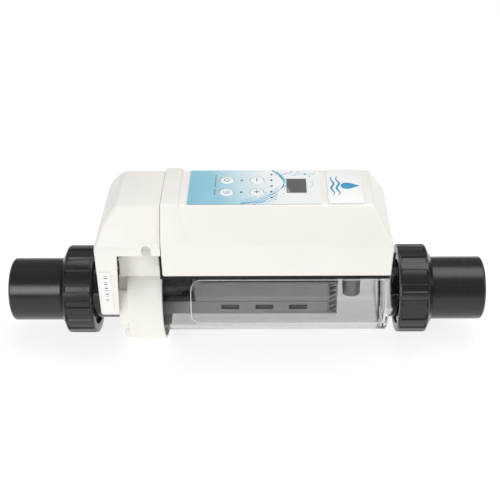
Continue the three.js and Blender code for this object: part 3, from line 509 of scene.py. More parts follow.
def combined(operation, piece, *others):
    """Joins the piece with others, or cuts it by them, and uses them up."""
    for other in others:
        step = piece.modifiers.new("combine", "BOOLEAN")
        step.operation = operation
        step.object = other
        step.solver = "EXACT"
        applied(piece)
        bpy.data.objects.remove(other)


def together(name, *pieces):
    """Several loose pieces as one object."""
    shape = bmesh.new()
    for piece in pieces:
        shape.from_mesh(piece.data)
        bpy.data.objects.remove(piece)
    return from_bmesh(name, shape)


def from_bmesh(name, shape):
    """A new object of an edited mesh, which is used up."""
    mesh = bpy.data.meshes.new(name)
    shape.to_mesh(mesh)
    shape.free()
    return linked(name, mesh)


def hull(name, points):
    """A convex solid through points that are given for one side only, in millimetres."""
    shape = bmesh.new()
    for x, y, z in points:
        shape.verts.new(Vector((x, y, z)) * MM)
        shape.verts.new(Vector((x, -y, z)) * MM)
    wrapped = bmesh.ops.convex_hull(shape, input=shape.verts)
    bmesh.ops.delete(shape, geom=wrapped["geom_interior"] + wrapped["geom_unused"], context="VERTS")
    bmesh.ops.dissolve_limit(shape, angle_limit=0.02, verts=shape.verts, edges=shape.edges)
    bmesh.ops.recalc_face_normals(shape, faces=shape.faces)
    return from_bmesh(name, shape)


THREAD_PITCH = 5.0


def spiral(name, span, foot, crest, foot_width, crest_width, flip=False):
    """A right-handed thread ridge about the pipe's axis, over a span of it or of its other end."""
    start, end = span
    per_turn = 48
    fade = 10  # how many steps it rises over at either end
    steps = round((end - start) / THREAD_PITCH * per_turn)
    sign = -1 if flip else 1
    points = []
    for i in range(steps + 1):
        angle = TAU * i / per_turn
        x = start + THREAD_PITCH * i / per_turn
        taper = min(1.0, i / fade, (steps - i) / fade)
        top = foot + (crest - foot) * max(0.05, taper)
        section = ((-foot_width, foot), (foot_width, foot), (crest_width, top), (-crest_width, top))
        for width, radius in section:
            along, across = x + width / 2, radius * math.cos(angle)
            points.append((sign * along, sign * across, radius * math.sin(angle)))
    last = 4 * steps
    faces = [face for here in range(0, last, 4) for face in belt(here, here + 4, 4)]
    faces += [(0, 1, 2, 3), (last, last + 1, last + 2, last + 3)]
    return made(name, points, faces)


def spaced(start, end, steps):
    """Evenly spaced numbers from start to end."""
    return [start + (end - start) * k / steps for k in range(steps + 1)]


def arc(centre, radius, start, end, steps):
    """Points along an arc, its angles in degrees from the first axis towards the second."""
    turns = [math.radians(degrees) for degrees in spaced(start, end, steps)]
    return [(centre[0] + radius * math.cos(t), centre[1] + radius * math.sin(t)) for t in turns]


def step_up(value, edge, width):
    """0 well before the edge, 1 well past it, smooth between."""
    t = min(1.0, max(0.0, (value - edge) / width + 0.5))
    return t * t * (3 - 2 * t)


def mirrored(outline):
    """An outline along the pipe for its other end."""
    return [(-x, *rest) for x, *rest in reversed(outline)]


# ---- Unions ----

NUT_RIBS = 18
NUT_LOW, NUT_HIGH = box_mm("union_nut_right")
NUT_RADIUS = NUT_HIGH.y
NUT_POCKET = 1.3  # how deep the panels between the ribs are
NUT_SHOULDER = NUT_HIGH.x - 5.2  # where its cone starts
NUT_MOUTH = 32.3
NECK_RADIUS = 28.5
THREAD_ROOT = 34.4
THREAD_CREST = 37.0
BORE_RADIUS = 35.2  # of the nut's thread
BORE_END = 176.8  # where the nut's thread meets its shoulder
NUT_THREAD = (150.5, 170.5)
CELL_THREAD = (153, 168)
FLOW_RADIUS = 21.0
TAIL_SOCKET = 35  # how deep the pipe goes in


def tail_outline(low, high):
    """The tail's outline: flange, barrel, chamfered mouth and socket."""
    flange, step, stop = high.y, low.x + 6, high.x - TAIL_SOCKET
    barrel = flange - 3.8
    socket = barrel - 5.9
    points = [(low.x, FLOW_RADIUS, 0.4), (low.x, flange, 0.5), (step, flange, 0.5), (step, barrel, 0.4)]
    points += [(high.x - 1.8, barrel, 1.4), (high.x, barrel - 1.9, 0.8), (high.x, socket + 1.4, 0.5)]
    points += [(high.x - 1.6, socket, 0.6), (stop, socket, 0.3), (stop, FLOW_RADIUS, 0.6)]
    return rounded(points)


def nut_outline():
    """The nut's outline; the ribs are cut in its long outer side, which has many points."""
    inner, outer, shoulder = NUT_LOW.x, NUT_HIGH.x, NUT_SHOULDER
    side = [(x, NUT_RADIUS) for x in spaced(inner + 0.9, shoulder - 0.5, 34)]
    front = [(inner + 0.5, BORE_RADIUS), (inner, BORE_RADIUS + 0.5)]
    front += [(inner, NUT_RADIUS - 0.9), (inner + 0.25, NUT_RADIUS - 0.3)]
    back = [(shoulder + 0.1, NUT_RADIUS - 0.4), (shoulder + 0.5, NUT_RADIUS - 1.2)]
    back += [(outer - 1.2, NUT_MOUTH + 2.9), (outer - 0.3, NUT_MOUTH + 1.8), (outer, NUT_MOUTH + 0.9)]
    back += [(outer, NUT_MOUTH + 0.4), (outer - 0.4, NUT_MOUTH), (BORE_END, NUT_MOUTH)]
    return [*front, *side, *back, (BORE_END, BORE_RADIUS)]


def nut_shape(along, radius, angle):
    """Recessed panels between the nut's ribs, shut off by a rim at either end."""
    if radius < NUT_RADIUS - 0.1:
        return radius
    along = abs(along)
    phase = angle / TAU * NUT_RIBS % 1.0
    across = step_up(phase, 0.04, 0.08) * (1 - step_up(phase, 0.5, 0.08))
    length = step_up(along, NUT_LOW.x + 2.1, 0.9) * (1 - step_up(along, NUT_SHOULDER - 1.6, 0.9))
    return radius - NUT_POCKET * across * length


def add_union(side, flip):
    """A tail and its nut at one end of the pipe."""
    end = "inlet" if flip else "outlet"
    faced = mirrored if flip else list
    tail = ringed(f"tail_{end}", faced(tail_outline(*box_mm("union_tail_right"))))
    settled(tail, f"{end}_tail", "black_plastic", f"union_tail_{side}")
    nut = ringed(f"nut_{end}", faced(nut_outline()), nut_shape, NUT_RIBS * 24)
    thread = spiral(f"nut_thread_{end}", NUT_THREAD, BORE_RADIUS + 0.1, 34.9, 2.0, 1.4, flip)
    whole = together(f"nut_{end}", nut, thread)
    settled(whole, f"{end}_nut", "black_plastic", f"union_nut_{side}", angle=32)


add_union("right", False)
add_union("left", True)

# ---- Clear cell ----

CELL_RADIUS = 41.0
CELL_BORE = 37.5
CELL_RIM = {"left": -104, "right": -97, "radius": 43.6}  # goes in the lock ring
CELL_SHOULDER = {"inside": 128, "outside": 138, "thread": 149.4}  # where its right end narrows
SEAL_GROOVE = {"inner": 24, "outer": 28, "deep": 2.5}
FEET_X = (-30, 70)  # what the controller stands on
FOOT = {"half_x": 10, "half_y": 14, "bottom": 38.2}
PAD_RADIUS = 42.2
BEAD_RADIUS = 0.45
BEAD_SIDES = 6
SENSOR_RADIUS = 9.5
PAD = {"left": -53.0, "right": 134.5, "low": -18.0, "high": 46.0, "corner": 10.0}  # up in degrees


def pad_height(x, degrees):
    """How far the raised window stands at a place on the cell: 0 off it, 1 on it."""
    middle_x, middle_a = (PAD["left"] + PAD["right"]) / 2, (PAD["low"] + PAD["high"]) / 2
    around = math.radians(degrees - middle_a) * CELL_RADIUS
    half_x = (PAD["right"] - PAD["left"]) / 2
    half_a = math.radians(PAD["high"] - PAD["low"]) / 2 * CELL_RADIUS
    corner = PAD["corner"] if x < 0 else 3.0
    a, b = abs(x - middle_x) - half_x + corner, abs(around) - half_a + corner
    outside = math.hypot(max(a, 0), max(b, 0)) + min(max(a, b), 0) - corner
    return 1 - step_up(outside, -0.5, 1.3)


def cell_shape(x, radius, angle):
    """The cell's outside, with a raised window on the front and another on the back."""
    if radius < CELL_RADIUS - 0.01:
        return radius
    degrees = math.degrees(angle)
    front, back = 180 - degrees, degrees if degrees < 180 else degrees - 360
    height = max(pad_height(x, front), pad_height(x, back))
    return radius + (PAD_RADIUS - CELL_RADIUS) * height


def cell_outline():
    """The clear cell in section, with enough points along its outside to shape the windows."""
    rim, inside, outside, thread = CELL_RIM, *CELL_SHOULDER.values()
    left, radius = rim["left"], rim["radius"]
    right = box_mm("clear_cell_housing")[1].x
    barrel = [(x, CELL_RADIUS) for x in spaced(rim["right"] + 0.4, outside - 2.2, 240)]
    lip = [(left, CELL_BORE, 0.3), (left, radius, 0.8)]
    lip += [(rim["right"], radius, 0.8), (rim["right"], CELL_RADIUS - 0.3, 0)]
    neck = [(outside, NECK_RADIUS, 0.8), (thread, NECK_RADIUS, 0.3), (thread, THREAD_ROOT - 0.4, 0.3)]
    low, high, deep = SEAL_GROOVE.values()
    neck += [(right, THREAD_ROOT, 0.6), (right, high, 0.2), (right - deep, high, 0.2)]
    neck += [(right - deep, low, 0.2), (right, low, 0.2), (right, FLOW_RADIUS, 0.6)]
    neck += [(inside, FLOW_RADIUS, 1.2), (inside, CELL_BORE, 2.5)]
    edge = [(outside - 1.2, 40.8), (outside - 0.4, 40.2), (outside, 39.2)]
    return rounded(lip) + barrel + edge + rounded(neck)


def window_bead(side):
    """The fine bead that runs round the edge of a raised window; its near-white paint is a painted
    highlight along that edge.
    """
    low, high = (math.radians(PAD[k]) * CELL_RADIUS for k in ("low", "high"))
    radius = PAD["corner"]
    left, right = PAD["left"] + 0.4, PAD["right"] - 0.4
    outline = rounded([(left, low, radius), (right, low, 3), (right, high, 3), (left, high, radius)], 10)
    path = []
    for i, start in enumerate(outline):
        start, end = Vector(start), Vector(outline[(i + 1) % len(outline)])
        count = max(1, round((end - start).length / 2.5))
        path += [start.lerp(end, k / count) for k in range(count)]
    points = []
    for x, across in path:
        angle = across / CELL_RADIUS
        lengthwise = x < left + 3 or x > right - 1  # its section lies along the pipe
        for k in range(BEAD_SIDES):
            turn = TAU * k / BEAD_SIDES
            lift = PAD_RADIUS - 0.15 + BEAD_RADIUS * math.sin(turn)
            shift = BEAD_RADIUS * math.cos(turn)
            along = x + shift if lengthwise else x
            around = angle if lengthwise else angle + shift / CELL_RADIUS
            points.append((along, side * lift * math.cos(around), lift * math.sin(around)))
    return made("bead", points, belts(len(path), BEAD_SIDES))


def add_cell():
    """The clear cell, with the controller's feet, the sensor's boss and the union's thread."""
    cell = ringed("clear_cell", cell_outline(), cell_shape, 192)
    half_x, half_y, bottom = FOOT.values()
    top = box_mm("controller_base")[0].z - GAP
    feet = [brick("foot", (x - half_x, -half_y, bottom), (x + half_x, half_y, top)) for x in FEET_X]
    sensor = (middle_mm("flow_sensor").x, 0)
    boss = turned("boss", disc_profile(bottom, 46, SENSOR_RADIUS + 2, 0.5), centre=sensor)
    combined("UNION", cell, *[bevelled(foot, 0.8, 2) for foot in feet], boss)
    combined("DIFFERENCE", cell, bore(sensor, 30, 50, SENSOR_RADIUS + GAP))
    thread = spiral("cell_thread", CELL_THREAD, THREAD_ROOT - 0.5, THREAD_CREST, 2.6, 1.4)
    whole = together("clear_cell", cell, thread)
    settled(whole, "cell_unit", "clear_plastic", "clear_cell_housing", angle=35)
    beads = together("window_beads_painted_highlight", window_bead(-1), window_bead(1))
    # the beads' frosted white is a painted highlight of the glint along the windows' rounded edges
    settled(beads, "cell_unit", "clear_plastic", look="frosted_plastic")


add_cell()

# ---- Lock ring ----

RING_LEFT = -121.3
RING_STEP = -112.6  # where the ring's flange meets its band
RING_NOTCHES = (138, 318)  # where a spanner holds the ring, in degrees from +Y
RING_CUTAWAYS = (40, 220)
RING_CUTAWAY_END = -115.2
RING_BOSSES = (37.6, 217.6)
RING_BOSS = {"circle": 44.8, "radius": 5, "left": -118.8}
RING_BORE = 41
RING_NOTCH_FLOOR = 44.3
RING_CUTAWAY_FLOOR = 42.5
RING_SLEEVE = {"left": -116, "right": -112.7, "bore": 39, "groove": 46.8}  # round the cell's rim
LUG = {"inner": 42.0, "outer": 47.4, "left": -86.4, "right": -82.0, "half": 19}  # half in degrees


def notched(degrees, middles, half):
    """1 within that many degrees of a middle, 0 well away from them all."""
    offsets = [abs((degrees - middle + 180) % 360 - 180) for middle in middles]
    return max(1 - step_up(offset, half, 1.6) for offset in offsets)


def ring_shape(x, radius, angle):
    """The spanner notches and the two long cutaways in the ring's flange."""
    if x > RING_STEP - 0.3 or radius < 43:
        return radius
    degrees = math.degrees(angle)
    depth = notched(degrees, RING_NOTCHES, 8) * (radius - RING_NOTCH_FLOOR)
    if x < RING_CUTAWAY_END + 0.2:
        depth = max(depth, notched(degrees, RING_CUTAWAYS, 30) * (radius - RING_CUTAWAY_FLOOR))
    return radius - depth


def add_lock_ring():
    """The bayonet ring, with a flange on the left of its band."""
    high = box_mm("lock_ring")[1]
    left, right, radius = RING_LEFT, high.x, high.z
    flange, step, cut = radius - 1.5, RING_STEP, RING_CUTAWAY_END
    inner, outer, bore_radius, groove = RING_SLEEVE.values()
    points = [(left, RING_BORE, 0.5), (left, flange, 1.2), (cut, flange, 0), (cut + 0.1, flange, 0)]
    points += [(step - 0.4, flange, 0), (step - 0.2, flange, 0.2), (step, radius, 0.5)]
    points += [(step + 5, radius, 0), (step + 5.8, radius - 0.3, 0), (right - 8, radius - 0.3, 0)]
    points += [(right - 7.2, radius, 0), (right, radius, 1.6), (right, groove, 0.4)]
    points += [(outer, groove, 0.4), (outer, bore_radius, 0.4)]
    points += [(inner, bore_radius, 0.4), (inner, RING_BORE, 0.4)]
    pieces = [ringed("lock_ring_look", rounded(points), ring_shape, 300)]
    boss = disc_profile(RING_BOSS["left"], outer, RING_BOSS["radius"], 1.2)
    for centre in arc((0, 0), RING_BOSS["circle"], *RING_BOSSES, 1):
        pieces.append(turned("boss", boss, "x", centre, 40))
    pieces += [bayonet_lug(45 + 90 * k) for k in range(4)]
    settled(together("lock_ring_look", *pieces), "lock_ring", "ivory_plastic", "lock_ring", angle=35)


def bayonet_lug(middle):
    """One of the ring's inner lugs, which hold behind the cell's own."""
    start, end = middle - LUG["half"], middle + LUG["half"]
    outline = arc((0, 0), LUG["outer"], start, end, 12) + arc((0, 0), LUG["inner"], end, start, 12)
    return slab("lug", outline, LUG["left"], LUG["right"], "x")


add_lock_ring()

# ---- Controller cover and end cap ----

SHELL = {"wall": 3.0, "half": 54.0, "crease": 84.0, "roof": 116.0, "roof_half": 33.0}
COVER = {"left": -76.0, "right": 136.5, "roof_right": 118.5, "bottom": 52.1}
RIM = {"crease": 87.2, "roof": 118.2, "roof_half": 34.6, "top_right": -61.0, "side_right": -47.0}
RIM.update(foot_top=-59.0, foot_side=-44.5)
CAP = {"right": -76.7, "left": -137.5, "roof_left": -118.0, "bottom": 74.7}
CAP_BULGE = (-130.3, 42.45, 101.6)  # the sloping end is a little convex
APRON = {"top": -117.0, "foot": -120.2, "bottom": 8.0, "arch": 32.0}
PANEL_BAND = (110, 120)  # the heights between which the roof's holes are cut
GLAND_HOLE = 8.3
ROUND = {"cover": 7, "rim": 2.4, "cap": 11}  # the full widths that edges are rounded by
LAMP_PLACES = [(25.2, -20.7 + 10.75 * k) for k in range(5)]  # the level lamps
LAMP_PLACES += [(-2.8, -10.4), (-2.8, 12.0)]  # the status lamps
SCREW_NOTCH = (-89.5, 81.2, 4.2)  # along, up and radius
NOTCH_FLOOR = 41.0
KEYS = {"power": "ring", "mode": "loop", "minus": "minus", "plus": "plus"}  # with their symbols


def near(value, target, by=0.6):
    return abs(value - target) < by


def both_near(a, b, axis, target, by=0.6):
    """Whether both ends of an edge are near a place along an axis."""
    return all(near(getattr(end, axis), target, by) for end in (a, b))


def cover_weights(a, b):
    """How round the cover's edges are: soft along the creases and hips, crisp at the seam."""
    at_bottom = both_near(a, b, "z", COVER["bottom"])
    if both_near(a, b, "x", COVER["left"]):
        return 0.4 if at_bottom else 0.1
    if at_bottom:
        return 0.12
    if both_near(a, b, "z", SHELL["roof"]):
        return 0.4
    return 0.45 if both_near(a, b, "z", SHELL["crease"]) else 0.5


def rim_weights(a, b):
    """How round the edges of the cover's proud rim are."""
    if both_near(a, b, "x", COVER["left"]):
        return 0.12
    return 0.05 if both_near(a, b, "z", COVER["bottom"], 1) else 0.5


def panel_cutters():
    """The holes through the roof for the keys, the lamps and the display."""
    cutters = []
    for key in KEYS:
        low, high = box_mm(f"key_{key}")
        cutters.append(bore(middle_mm(f"key_{key}").xy, *PANEL_BAND, (high.x - low.x) / 2 + GAP))
    cutters += [bore(place, *PANEL_BAND, 1 + GAP, segments=20) for place in LAMP_PLACES]
    low, high = box_mm("display_window")
    outline = rounded_rectangle(low.x - GAP, low.y - GAP, high.x + GAP, high.y + GAP, 0.6)
    return [*cutters, slab("cut", outline, *PANEL_BAND)]


def shell_section(inset):
    """The cover's half section, moved in by a wall's thickness."""
    half, crease, roof, roof_half = (SHELL[k] for k in ("half", "crease", "roof", "roof_half"))
    return half - inset, crease - inset / 3, roof_half - 0.57 * inset, roof - inset


def shell_hull(name, inset, seam, roof_end, end, foot_end, bottom, bulge=()):
    """A convex solid with the shell's section, from its seam to the sloping end away from it."""
    half, crease, roof_half, roof = shell_section(inset)
    points = [(seam, half, bottom), (seam, half, crease), (seam, roof_half, roof)]
    points += [(roof_end, roof_half, roof), *bulge, (end, half, crease), (foot_end, half, bottom)]
    return hull(name, points)


def add_cover():
    """The cover: a hollow shell with a proud rim at its seam, cut for all that comes through."""
    left, right, roof_right, bottom = COVER.values()
    wall = SHELL["wall"]
    body = shell_hull("cover", 0, left, roof_right, right, right - 1, bottom)
    body = bevelled(body, ROUND["cover"], 6, weights=cover_weights)
    half, crease, roof_half, roof = shell_section(0)
    inner, seam, foot = half - 0.04, left + 0.02, bottom + 12
    r = RIM
    points = [(seam, inner, foot), (seam, inner, r["crease"]), (seam, r["roof_half"], r["roof"])]
    points += [(r["top_right"], r["roof_half"], r["roof"]), (r["side_right"], inner, r["crease"])]
    points += [(r["foot_top"], roof_half, roof), *((r["foot_side"], inner, z) for z in (crease, foot))]
    rim = bevelled(hull("rim", points), ROUND["rim"], 4, weights=rim_weights)
    ends = (left + wall, roof_right - 1.7, right - wall, right - wall - 1)
    inside = shell_hull("inside", wall, *ends, bottom - 1)
    gland_hole = bore(middle_mm("cable_gland").xz, 45, 60, GLAND_HOLE, "y")
    combined("UNION", body, rim)
    combined("DIFFERENCE", body, inside, gland_hole, *panel_cutters())
    settled(body, "cell_unit", "ivory_plastic", "controller_cover", angle=28)


def cap_weights(a, b):
    """How round the end cap's edges are: very soft at its free end, crisp at the seam."""
    if both_near(a, b, "x", CAP["right"]):
        return 0.05
    if min(a.z, b.z) < CAP["bottom"] + 1:
        free_end = both_near(a, b, "x", CAP["left"], 2.5)
        return 0.5 if free_end and abs(a.z - b.z) > 3 else 0.07
    if both_near(a, b, "z", SHELL["roof"]):
        return 0.85 if near(a.x, b.x) else 0.3
    if near(a.z, b.z) and not near(a.x, b.x):
        return 0.7
    return 0.9


def cap_outside():
    """The end cap's hood with its apron down over the head, before it is hollowed."""
    right, left, roof_left, bottom = CAP.values()
    hood = shell_hull("cap", 0, right, roof_left, left, left, bottom, [CAP_BULGE])
    half, base = SHELL["half"], APRON["bottom"]
    points = [(left, half, bottom + 1), (APRON["top"], half, bottom + 1), (left, half, base + 2)]
    apron = hull("apron", [*points, (left + 2, half, base), (APRON["foot"], half, base)])
    combined("UNION", hood, apron)
    shape = bmesh.new()
    shape.from_mesh(hood.data)
    bmesh.ops.remove_doubles(shape, verts=shape.verts, dist=0.00002)
    bmesh.ops.dissolve_limit(shape, angle_limit=0.03, verts=shape.verts, edges=shape.edges)
    shape.to_mesh(hood.data)
    shape.free()
    return bevelled(hood, ROUND["cap"], 8, weights=cap_weights)


def add_cap():
    """The end cap: hollow, with an arch in its end over the pipe and a screw pocket on each side."""
    right, left, roof_left, bottom = CAP.values()
    wall, arch_radius = SHELL["wall"], APRON["arch"]
    half = shell_section(wall)[0]
    hood = cap_outside()
    ends = (right + 1, roof_left + 1.7, left + wall, left + wall)
    inside = shell_hull("inside", wall, *ends, bottom - 1)
    below = brick("below", (left + wall + 1, -half, APRON["bottom"] - 1), (right, half, bottom + 0.01))
    arch = bore((0, 0), left - 5, left + 10, arch_radius, "x", 96)
    arch_foot = brick("foot", (left - 5, -arch_radius, -20), (left + 10, arch_radius, 0))
    slots = [slab("slot", pocket_outline(0), side * 40, side * 60, "y") for side in (-1, 1)]
    combined("DIFFERENCE", hood, inside, below, arch, arch_foot, *slots)
    whole = together("end_cap_look", hood, screw_pocket(-1), screw_pocket(1))
    settled(whole, "cell_unit", "ivory_plastic", "end_cap", angle=28)


def pocket_outline(grow):
    """The screw pocket's outline: a half round over a straight slot that is open below."""
    x, z, radius = SCREW_NOTCH
    radius += grow
    foot = CAP["bottom"] - (1 if grow == 0 else 0)
    return [*arc((x, z), radius, 0, 180, 20), (x - radius, foot), (x + radius, foot)]


def screw_pocket(side):
    """The lining of the pocket in the cap's side wall, closed at its bottom."""
    outer, inner = side * (SHELL["half"] - 0.6), side * NOTCH_FLOOR
    slot, thick = pocket_outline(-0.02), pocket_outline(1.3)
    n = len(slot)
    rows = [(slot, outer), (slot, inner), (thick, outer), (thick, inner - side * 1.2)]
    points = [(a, y, b) for outline, y in rows for a, b in outline]
    faces = [tuple(range(n, 2 * n)), tuple(range(3 * n, 4 * n))]
    for first, second in ((0, 1), (2, 3), (0, 2)):
        walls = belt(first * n, second * n, n)
        faces += walls[: n - 2] + walls[n - 1 :]  # all but the one across the open foot
    return made("pocket", points, faces)


add_cover()
add_cap()

# ---- Keys and print ----

PRINT_TOP = box_mm("panel_overlay")[1].z + 0.06
PRINT_FOOT = PRINT_TOP - 0.1


def printed(name, marks, ink, slot="panel_film"):
    """Marks as one piece of print in that ink."""
    settled(together(name, *marks), "cell_unit", slot, look=ink)


def stroke(points, widths, low, high, steps=10):
    """A brush stroke through flat points, of changing width, with a little thickness."""
    dense = []
    for i in range(len(points) - 1):
        before, after = points[max(i - 1, 0)], points[min(i + 2, len(points) - 1)]
        for k in range(steps):
            t = k / steps
            dense.append(smooth_point(before, points[i], points[i + 1], after, t))
    dense.append(points[-1])
    count = len(dense) - 1
    left, right = [], []
    for i, (x, y) in enumerate(dense):
        ahead, behind = dense[min(i + 1, count)], dense[max(i - 1, 0)]
        along = Vector((ahead[0] - behind[0], ahead[1] - behind[1])).normalized()
        place = i / count * (len(widths) - 1)
        k = min(int(place), len(widths) - 2)
        half = (widths[k] + (widths[k + 1] - widths[k]) * (place - k)) / 2
        left.append((x - along.y * half, y + along.x * half))
        right.append((x + along.y * half, y - along.x * half))
    return slab("stroke", left + right[::-1], low, high)


def smooth_point(p0, p1, p2, p3, t):
    """A point of the curve that runs smoothly through p1 and p2."""
    return tuple(
        0.5 * (2 * b + (c - a) * t + (2 * a - 5 * b + 4 * c - d) * t * t + (3 * b - a - 3 * c + d) * t**3)
        for a, b, c, d in zip(p0, p1, p2, p3)
    )


def add_key(node, body, icon):
    """A key: a narrow stem below a softly crowned button, with its symbol on top."""
    low, high = box_mm(node)
    radius, top, foot = (high.x - low.x) / 2, high.z, high.z - 1.8
    x, y = middle_mm(node).xy
    crown = [(1.4, 0), (0.8, 0), (0.35, 0.25), (0.12, 0.8), (0.04, 2), (0.02, radius * 0.6)]
    button = [(foot, radius - 0.4), *[(top - down, radius - inwards) for down, inwards in crown]]
    outline = [(low.z, 0), (low.z, 2), (foot, 2), *button, (top - 0.02, 0)]
    key = turned(node + "_look", outline, centre=(x, y), segments=56)
    settled(key, body, "white_plastic", node)
    symbol = together(f"{node}_icon", *icon_shapes(icon, x, y, top - 0.1, top + 0.03))
    settled(symbol, body, "panel_film", look="ink_blue")


def icon_shapes(icon, x, y, low, high):
    """The strokes of a key's symbol, whose top is towards the outlet."""

    def line(start, end):
        ends = [(x + a, y + b) for a, b in (start, end)]
        return stroke(ends, [1.1, 1.1], low, high, 2)

    def bow(start, end):
        return stroke(arc((x, y), 2.6, start, end, 20), [0.7, 1.0, 0.7], low, high, 2)

    if icon == "ring":
        return [bow(-40, -320), line((0.6, 0), (3.3, 0))]
    if icon == "loop":
        return [bow(60, -200), bore((x, y), low, high, 0.8, segments=16)]
    across = line((0, -2.8), (0, 2.8))
    if icon == "minus":
        return [across]
    return [across, line((-2.8, 0), (2.8, 0))]


for key, icon in KEYS.items():
    add_key(f"key_{key}", f"{key}_key", icon)


def add_splash():
    """The print on the film: a splash of water that crosses between the keys and the display."""
    deep = [
        ([(-3, -31), (9, -28.5), (18, -23), (26, -15), (33, -6)], [2.2, 1.1, 0.7, 1.2, 0.3]),
        ([(8, -31), (16, -28), (23, -22), (29, -17), (31, -12)], [0.3, 1.3, 0.5, 0.9, 0.2]),
        ([(33, -6), (36, 0), (37, 7), (36, 13), (32, 20)], [0.3, 1.5, 0.8, 1.6, 0.3]),
        ([(36, 13), (33, 21), (29, 26), (26, 31)], [0.4, 1.6, 0.9, 1.9]),
        ([(34, 20), (38, 24), (42, 25), (45, 29)], [0.3, 0.8, 0.4, 0.9]),
        ([(35, -3), (38, -1), (38.6, 3)], [0.3, 0.9, 0.2]),
        ([(-4, -26), (5, -23), (12, -19)], [0.2, 0.6, 0.2]),
    ]
    pale = [
        ([(-1, -29), (12, -24), (22, -16), (29, -7), (33, 2)], [3.4, 2.2, 2.0, 1.5, 0.6]),
        ([(36, 2), (38.5, 10), (35, 19), (29, 29)], [0.6, 2.6, 2.2, 3.0]),
        ([(12, -31), (24, -26), (31, -17)], [1.8, 1.2, 0.4]),
        ([(45, 20), (52, 24), (60, 23), (67, 26)], [0.4, 1.1, 0.5, 1.2]),
        ([(60, -4), (64, 3), (63, 12)], [0.3, 0.9, 0.3]),
    ]
    drops = [(57, 23, 1.3), (61, 19, 0.8), (50, 27, 0.9), (65, 22, 0.6), (47, 21, 0.6), (30, 24, 0.8)]
    drops += [(20, -12, 0.7), (24, -9, 0.5), (29, -24, 0.8), (36, -14, 0.6), (62, 8, 0.6)]
    lines = [stroke(path, widths, PRINT_FOOT, PRINT_TOP) for path, widths in deep]
    lines += [bore((x, y), PRINT_FOOT, PRINT_TOP, radius, segments=28) for x, y, radius in drops]
    printed("splash_deep", lines, "ink_blue")
    lines = [stroke(path, widths, PRINT_FOOT - 0.02, PRINT_TOP - 0.02) for path, widths in pale]
    printed("splash_pale", lines, "ink_pale")


def add_legends():
    """Plain strokes where the legends of the two left keys would be."""
    spans = {"key_power": ((10, 7), (5.5, 2), (0.5, -1.5), (-3, -6.5), (-8, -11.5))}
    spans["key_mode"] = ((4.5, 1), (-0.5, -4.5))
    marks = []
    for key, ends in spans.items():
        x, y = box_mm(key)[0].x - 4.2, middle_mm(key).y
        for first, last in ends:
            marks.append(stroke([(x, y + first), (x, y + last)], [1, 1], PRINT_FOOT, PRINT_TOP, 2))
    printed("legends", marks, "ink_grey")


def add_badge():
    """A generic water mark on the name plate: a drop over two waves, its top towards the outlet."""
    x, y = middle_mm("name_plate").xy
    top = box_mm("name_plate")[1].z
    drop_x, radius = x + 2, 6.0
    drop = [*arc((drop_x, y), radius, -60, -300, 24), (drop_x + 2 * radius, y)]
    pieces = [slab("drop", drop, top - 0.1, top)]
    for across in (x - 6.5, x - 11.5):
        wave = [(across + 1.3 * math.sin(v * 0.36), y + v) for v in range(-18, 19, 3)]
        pieces.append(stroke(wave, [0.5, 2.2, 2.2, 0.5], top - 0.1, top, 6))
    printed("badge", pieces, "ink_blue", "white_plastic")


def add_label():
    """The rating label, with plain strokes where its print would be."""
    low, high = box_mm("rating_label")
    face = low.y + 0.04
    outline = rounded_rectangle(low.x, low.z, high.x, high.z, 0.8)
    label = slab("rating_label_look", outline, face, high.y, "y")
    settled(label, "cell_unit", "white_plastic", "rating_label")
    x, z = middle_mm("rating_label").x, high.z - 4
    marks = []
    for k, length in enumerate((1.2, 2.6, 1.2, 1.2, 2.2, 1.0, 2.6, 1.4, 1.2, 2.4, 1.0, 1.6, 2.2)):
        foot = z - 0.45 * length
        if k % 3 != 2:
            marks.append(brick("mark", (x - 1.4, low.y, foot), (x + 1.6, face + 0.1, z)))
        z = foot - 1.5
    printed("label_print", marks, "ink_grey", "white_plastic")


def add_panel():
    """The film over the roof, with holes for what comes through it, and the name plate."""
    low, high = box_mm("panel_overlay")
    film = slab("film", rounded_rectangle(low.x, low.y, high.x, high.y, 1.2), low.z, high.z)
    combined("DIFFERENCE", film, *panel_cutters())
    settled(film, "cell_unit", "panel_film", "panel_overlay", angle=25)
    low, high = box_mm("name_plate")
    plate = slab("plate", rounded_rectangle(low.x, low.y, high.x, high.y, 2), low.z, high.z - 0.04)
    settled(bevelled(plate, 0.2, 2, angle=60), "cell_unit", "white_plastic", "name_plate")


add_panel()
add_splash()
add_legends()
add_badge()
add_label()

# ---- Comb ----


def add_comb():
    """The comb at the plates' ends: a frame whose side walls are slanting fins."""
    low, high = box_mm("plate_comb")
    pieces = []
    for z0, z1 in ((low.z, low.z + 2), (high.z - 2, high.z)):
        pieces.append(brick("bar", (low.x, low.y, z0), (high.x, high.y, z1)))
    for side in (-1, 1):
        for z in spaced(low.z + 1.2, high.z - 5.8, 5):
            fin = [(low.x, z), (low.x, z + 1.3), (high.x, z + 5.6), (high.x, z + 4.3)]
            pieces.append(slab("fin", fin, side * (high.y - 4.6), side * high.y, "y"))
        near_y, far_y = side * (high.y - 4.2), side * (high.y - 0.8)
        for x in (low.x, high.x - 1):
            pieces.append(brick("post", (x, near_y, low.z + 1), (x + 1, far_y, high.z - 1)))
    settled(together("comb_look", *pieces), "cell_unit", "grey_plastic", "plate_comb")


add_comb()

# ---- Everything else keeps its CAD shape ----


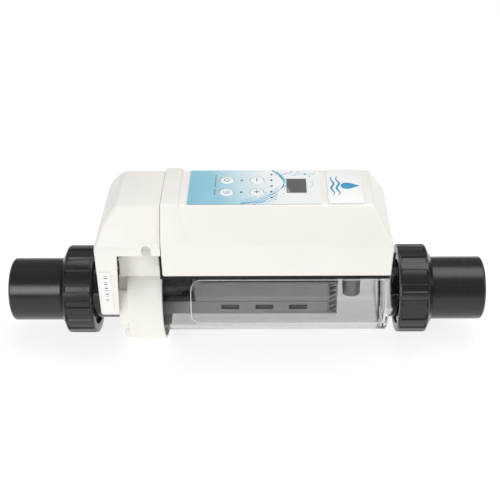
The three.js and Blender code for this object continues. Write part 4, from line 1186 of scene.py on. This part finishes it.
def polish(piece):
    """Finishes a CAD node: flat faces made whole, edges rounded a little, smooth shading."""
    weld = piece.modifiers.new("weld", "WELD")
    weld.merge_threshold = 0.00001
    flat = piece.modifiers.new("flat", "DECIMATE")
    flat.decimate_type = "DISSOLVE"
    flat.angle_limit = math.radians(0.5)
    bevel_edges(piece, 0.25, 2, 35).harden_normals = True
    smoothed(piece)


for part in frame["record"]["subparts"]:
    piece = frame["nodes"][part["node"]]
    piece.data.materials.clear()
    piece.data.materials.append(LOOKS[part["material_slot"]])
    if not piece.hide_render:
        polish(piece)

# ---- Studio ----

FLOOR_HALF = 4000
LAMPS = {  # place and size in metres, and power in watts
    "overhead": ((0.25, 0.3, 1.4), (1.6, 0.9), 12.5),
    "front_left": ((-0.8, -1.27, 0.75), (0.7, 0.7), 8),
    "right": ((1.5, -0.4, 0.85), (0.6, 0.6), 4),
    "front_low": ((0.1, -1.7, 0.22), (0.7, 0.3), 2.3),
}


def add_studio():
    """A pale floor, an even white surround and large soft lights."""
    floor = brick("floor", (-FLOOR_HALF, -FLOOR_HALF, -2), (FLOOR_HALF, FLOOR_HALF, 0))
    floor.location.z = cad_box[0][2] - 0.0005
    paper = Look("paper", (0.3, 0.3, 0.3), 0.9)
    paper.put("Emission Color", (1, 1, 1, 1))
    paper.put("Emission Strength", 0.8)
    paper.put("Base Color", paper.shade(paper.noise(6, 2.0), 0.01))
    floor.data.materials.append(paper.material)
    world = bpy.data.worlds.new("surround")
    world.use_nodes = True
    tree = world.node_tree
    background = tree.nodes["Background"]
    background.inputs["Color"].default_value = (1, 1, 1, 1)
    rays = tree.nodes.new("ShaderNodeLightPath")
    strength = tree.nodes.new("ShaderNodeMapRange")
    strength.inputs["To Min"].default_value = 0.3  # for light on the object; the camera sees 1.0
    tree.links.new(rays.outputs["Is Camera Ray"], strength.inputs["Value"])
    tree.links.new(strength.outputs["Result"], background.inputs["Strength"])
    bpy.context.scene.world = world
    for name, (place, size, power) in LAMPS.items():
        data = bpy.data.lights.new(name, "AREA")
        data.shape = "RECTANGLE"
        data.size, data.size_y = size
        data.energy = power
        lamp = linked(name, data)
        lamp.location = place
        lamp.rotation_euler = (-Vector(place)).to_track_quat("-Z", "Y").to_euler()
    bpy.context.scene.view_settings.view_transform = "Standard"


add_studio()
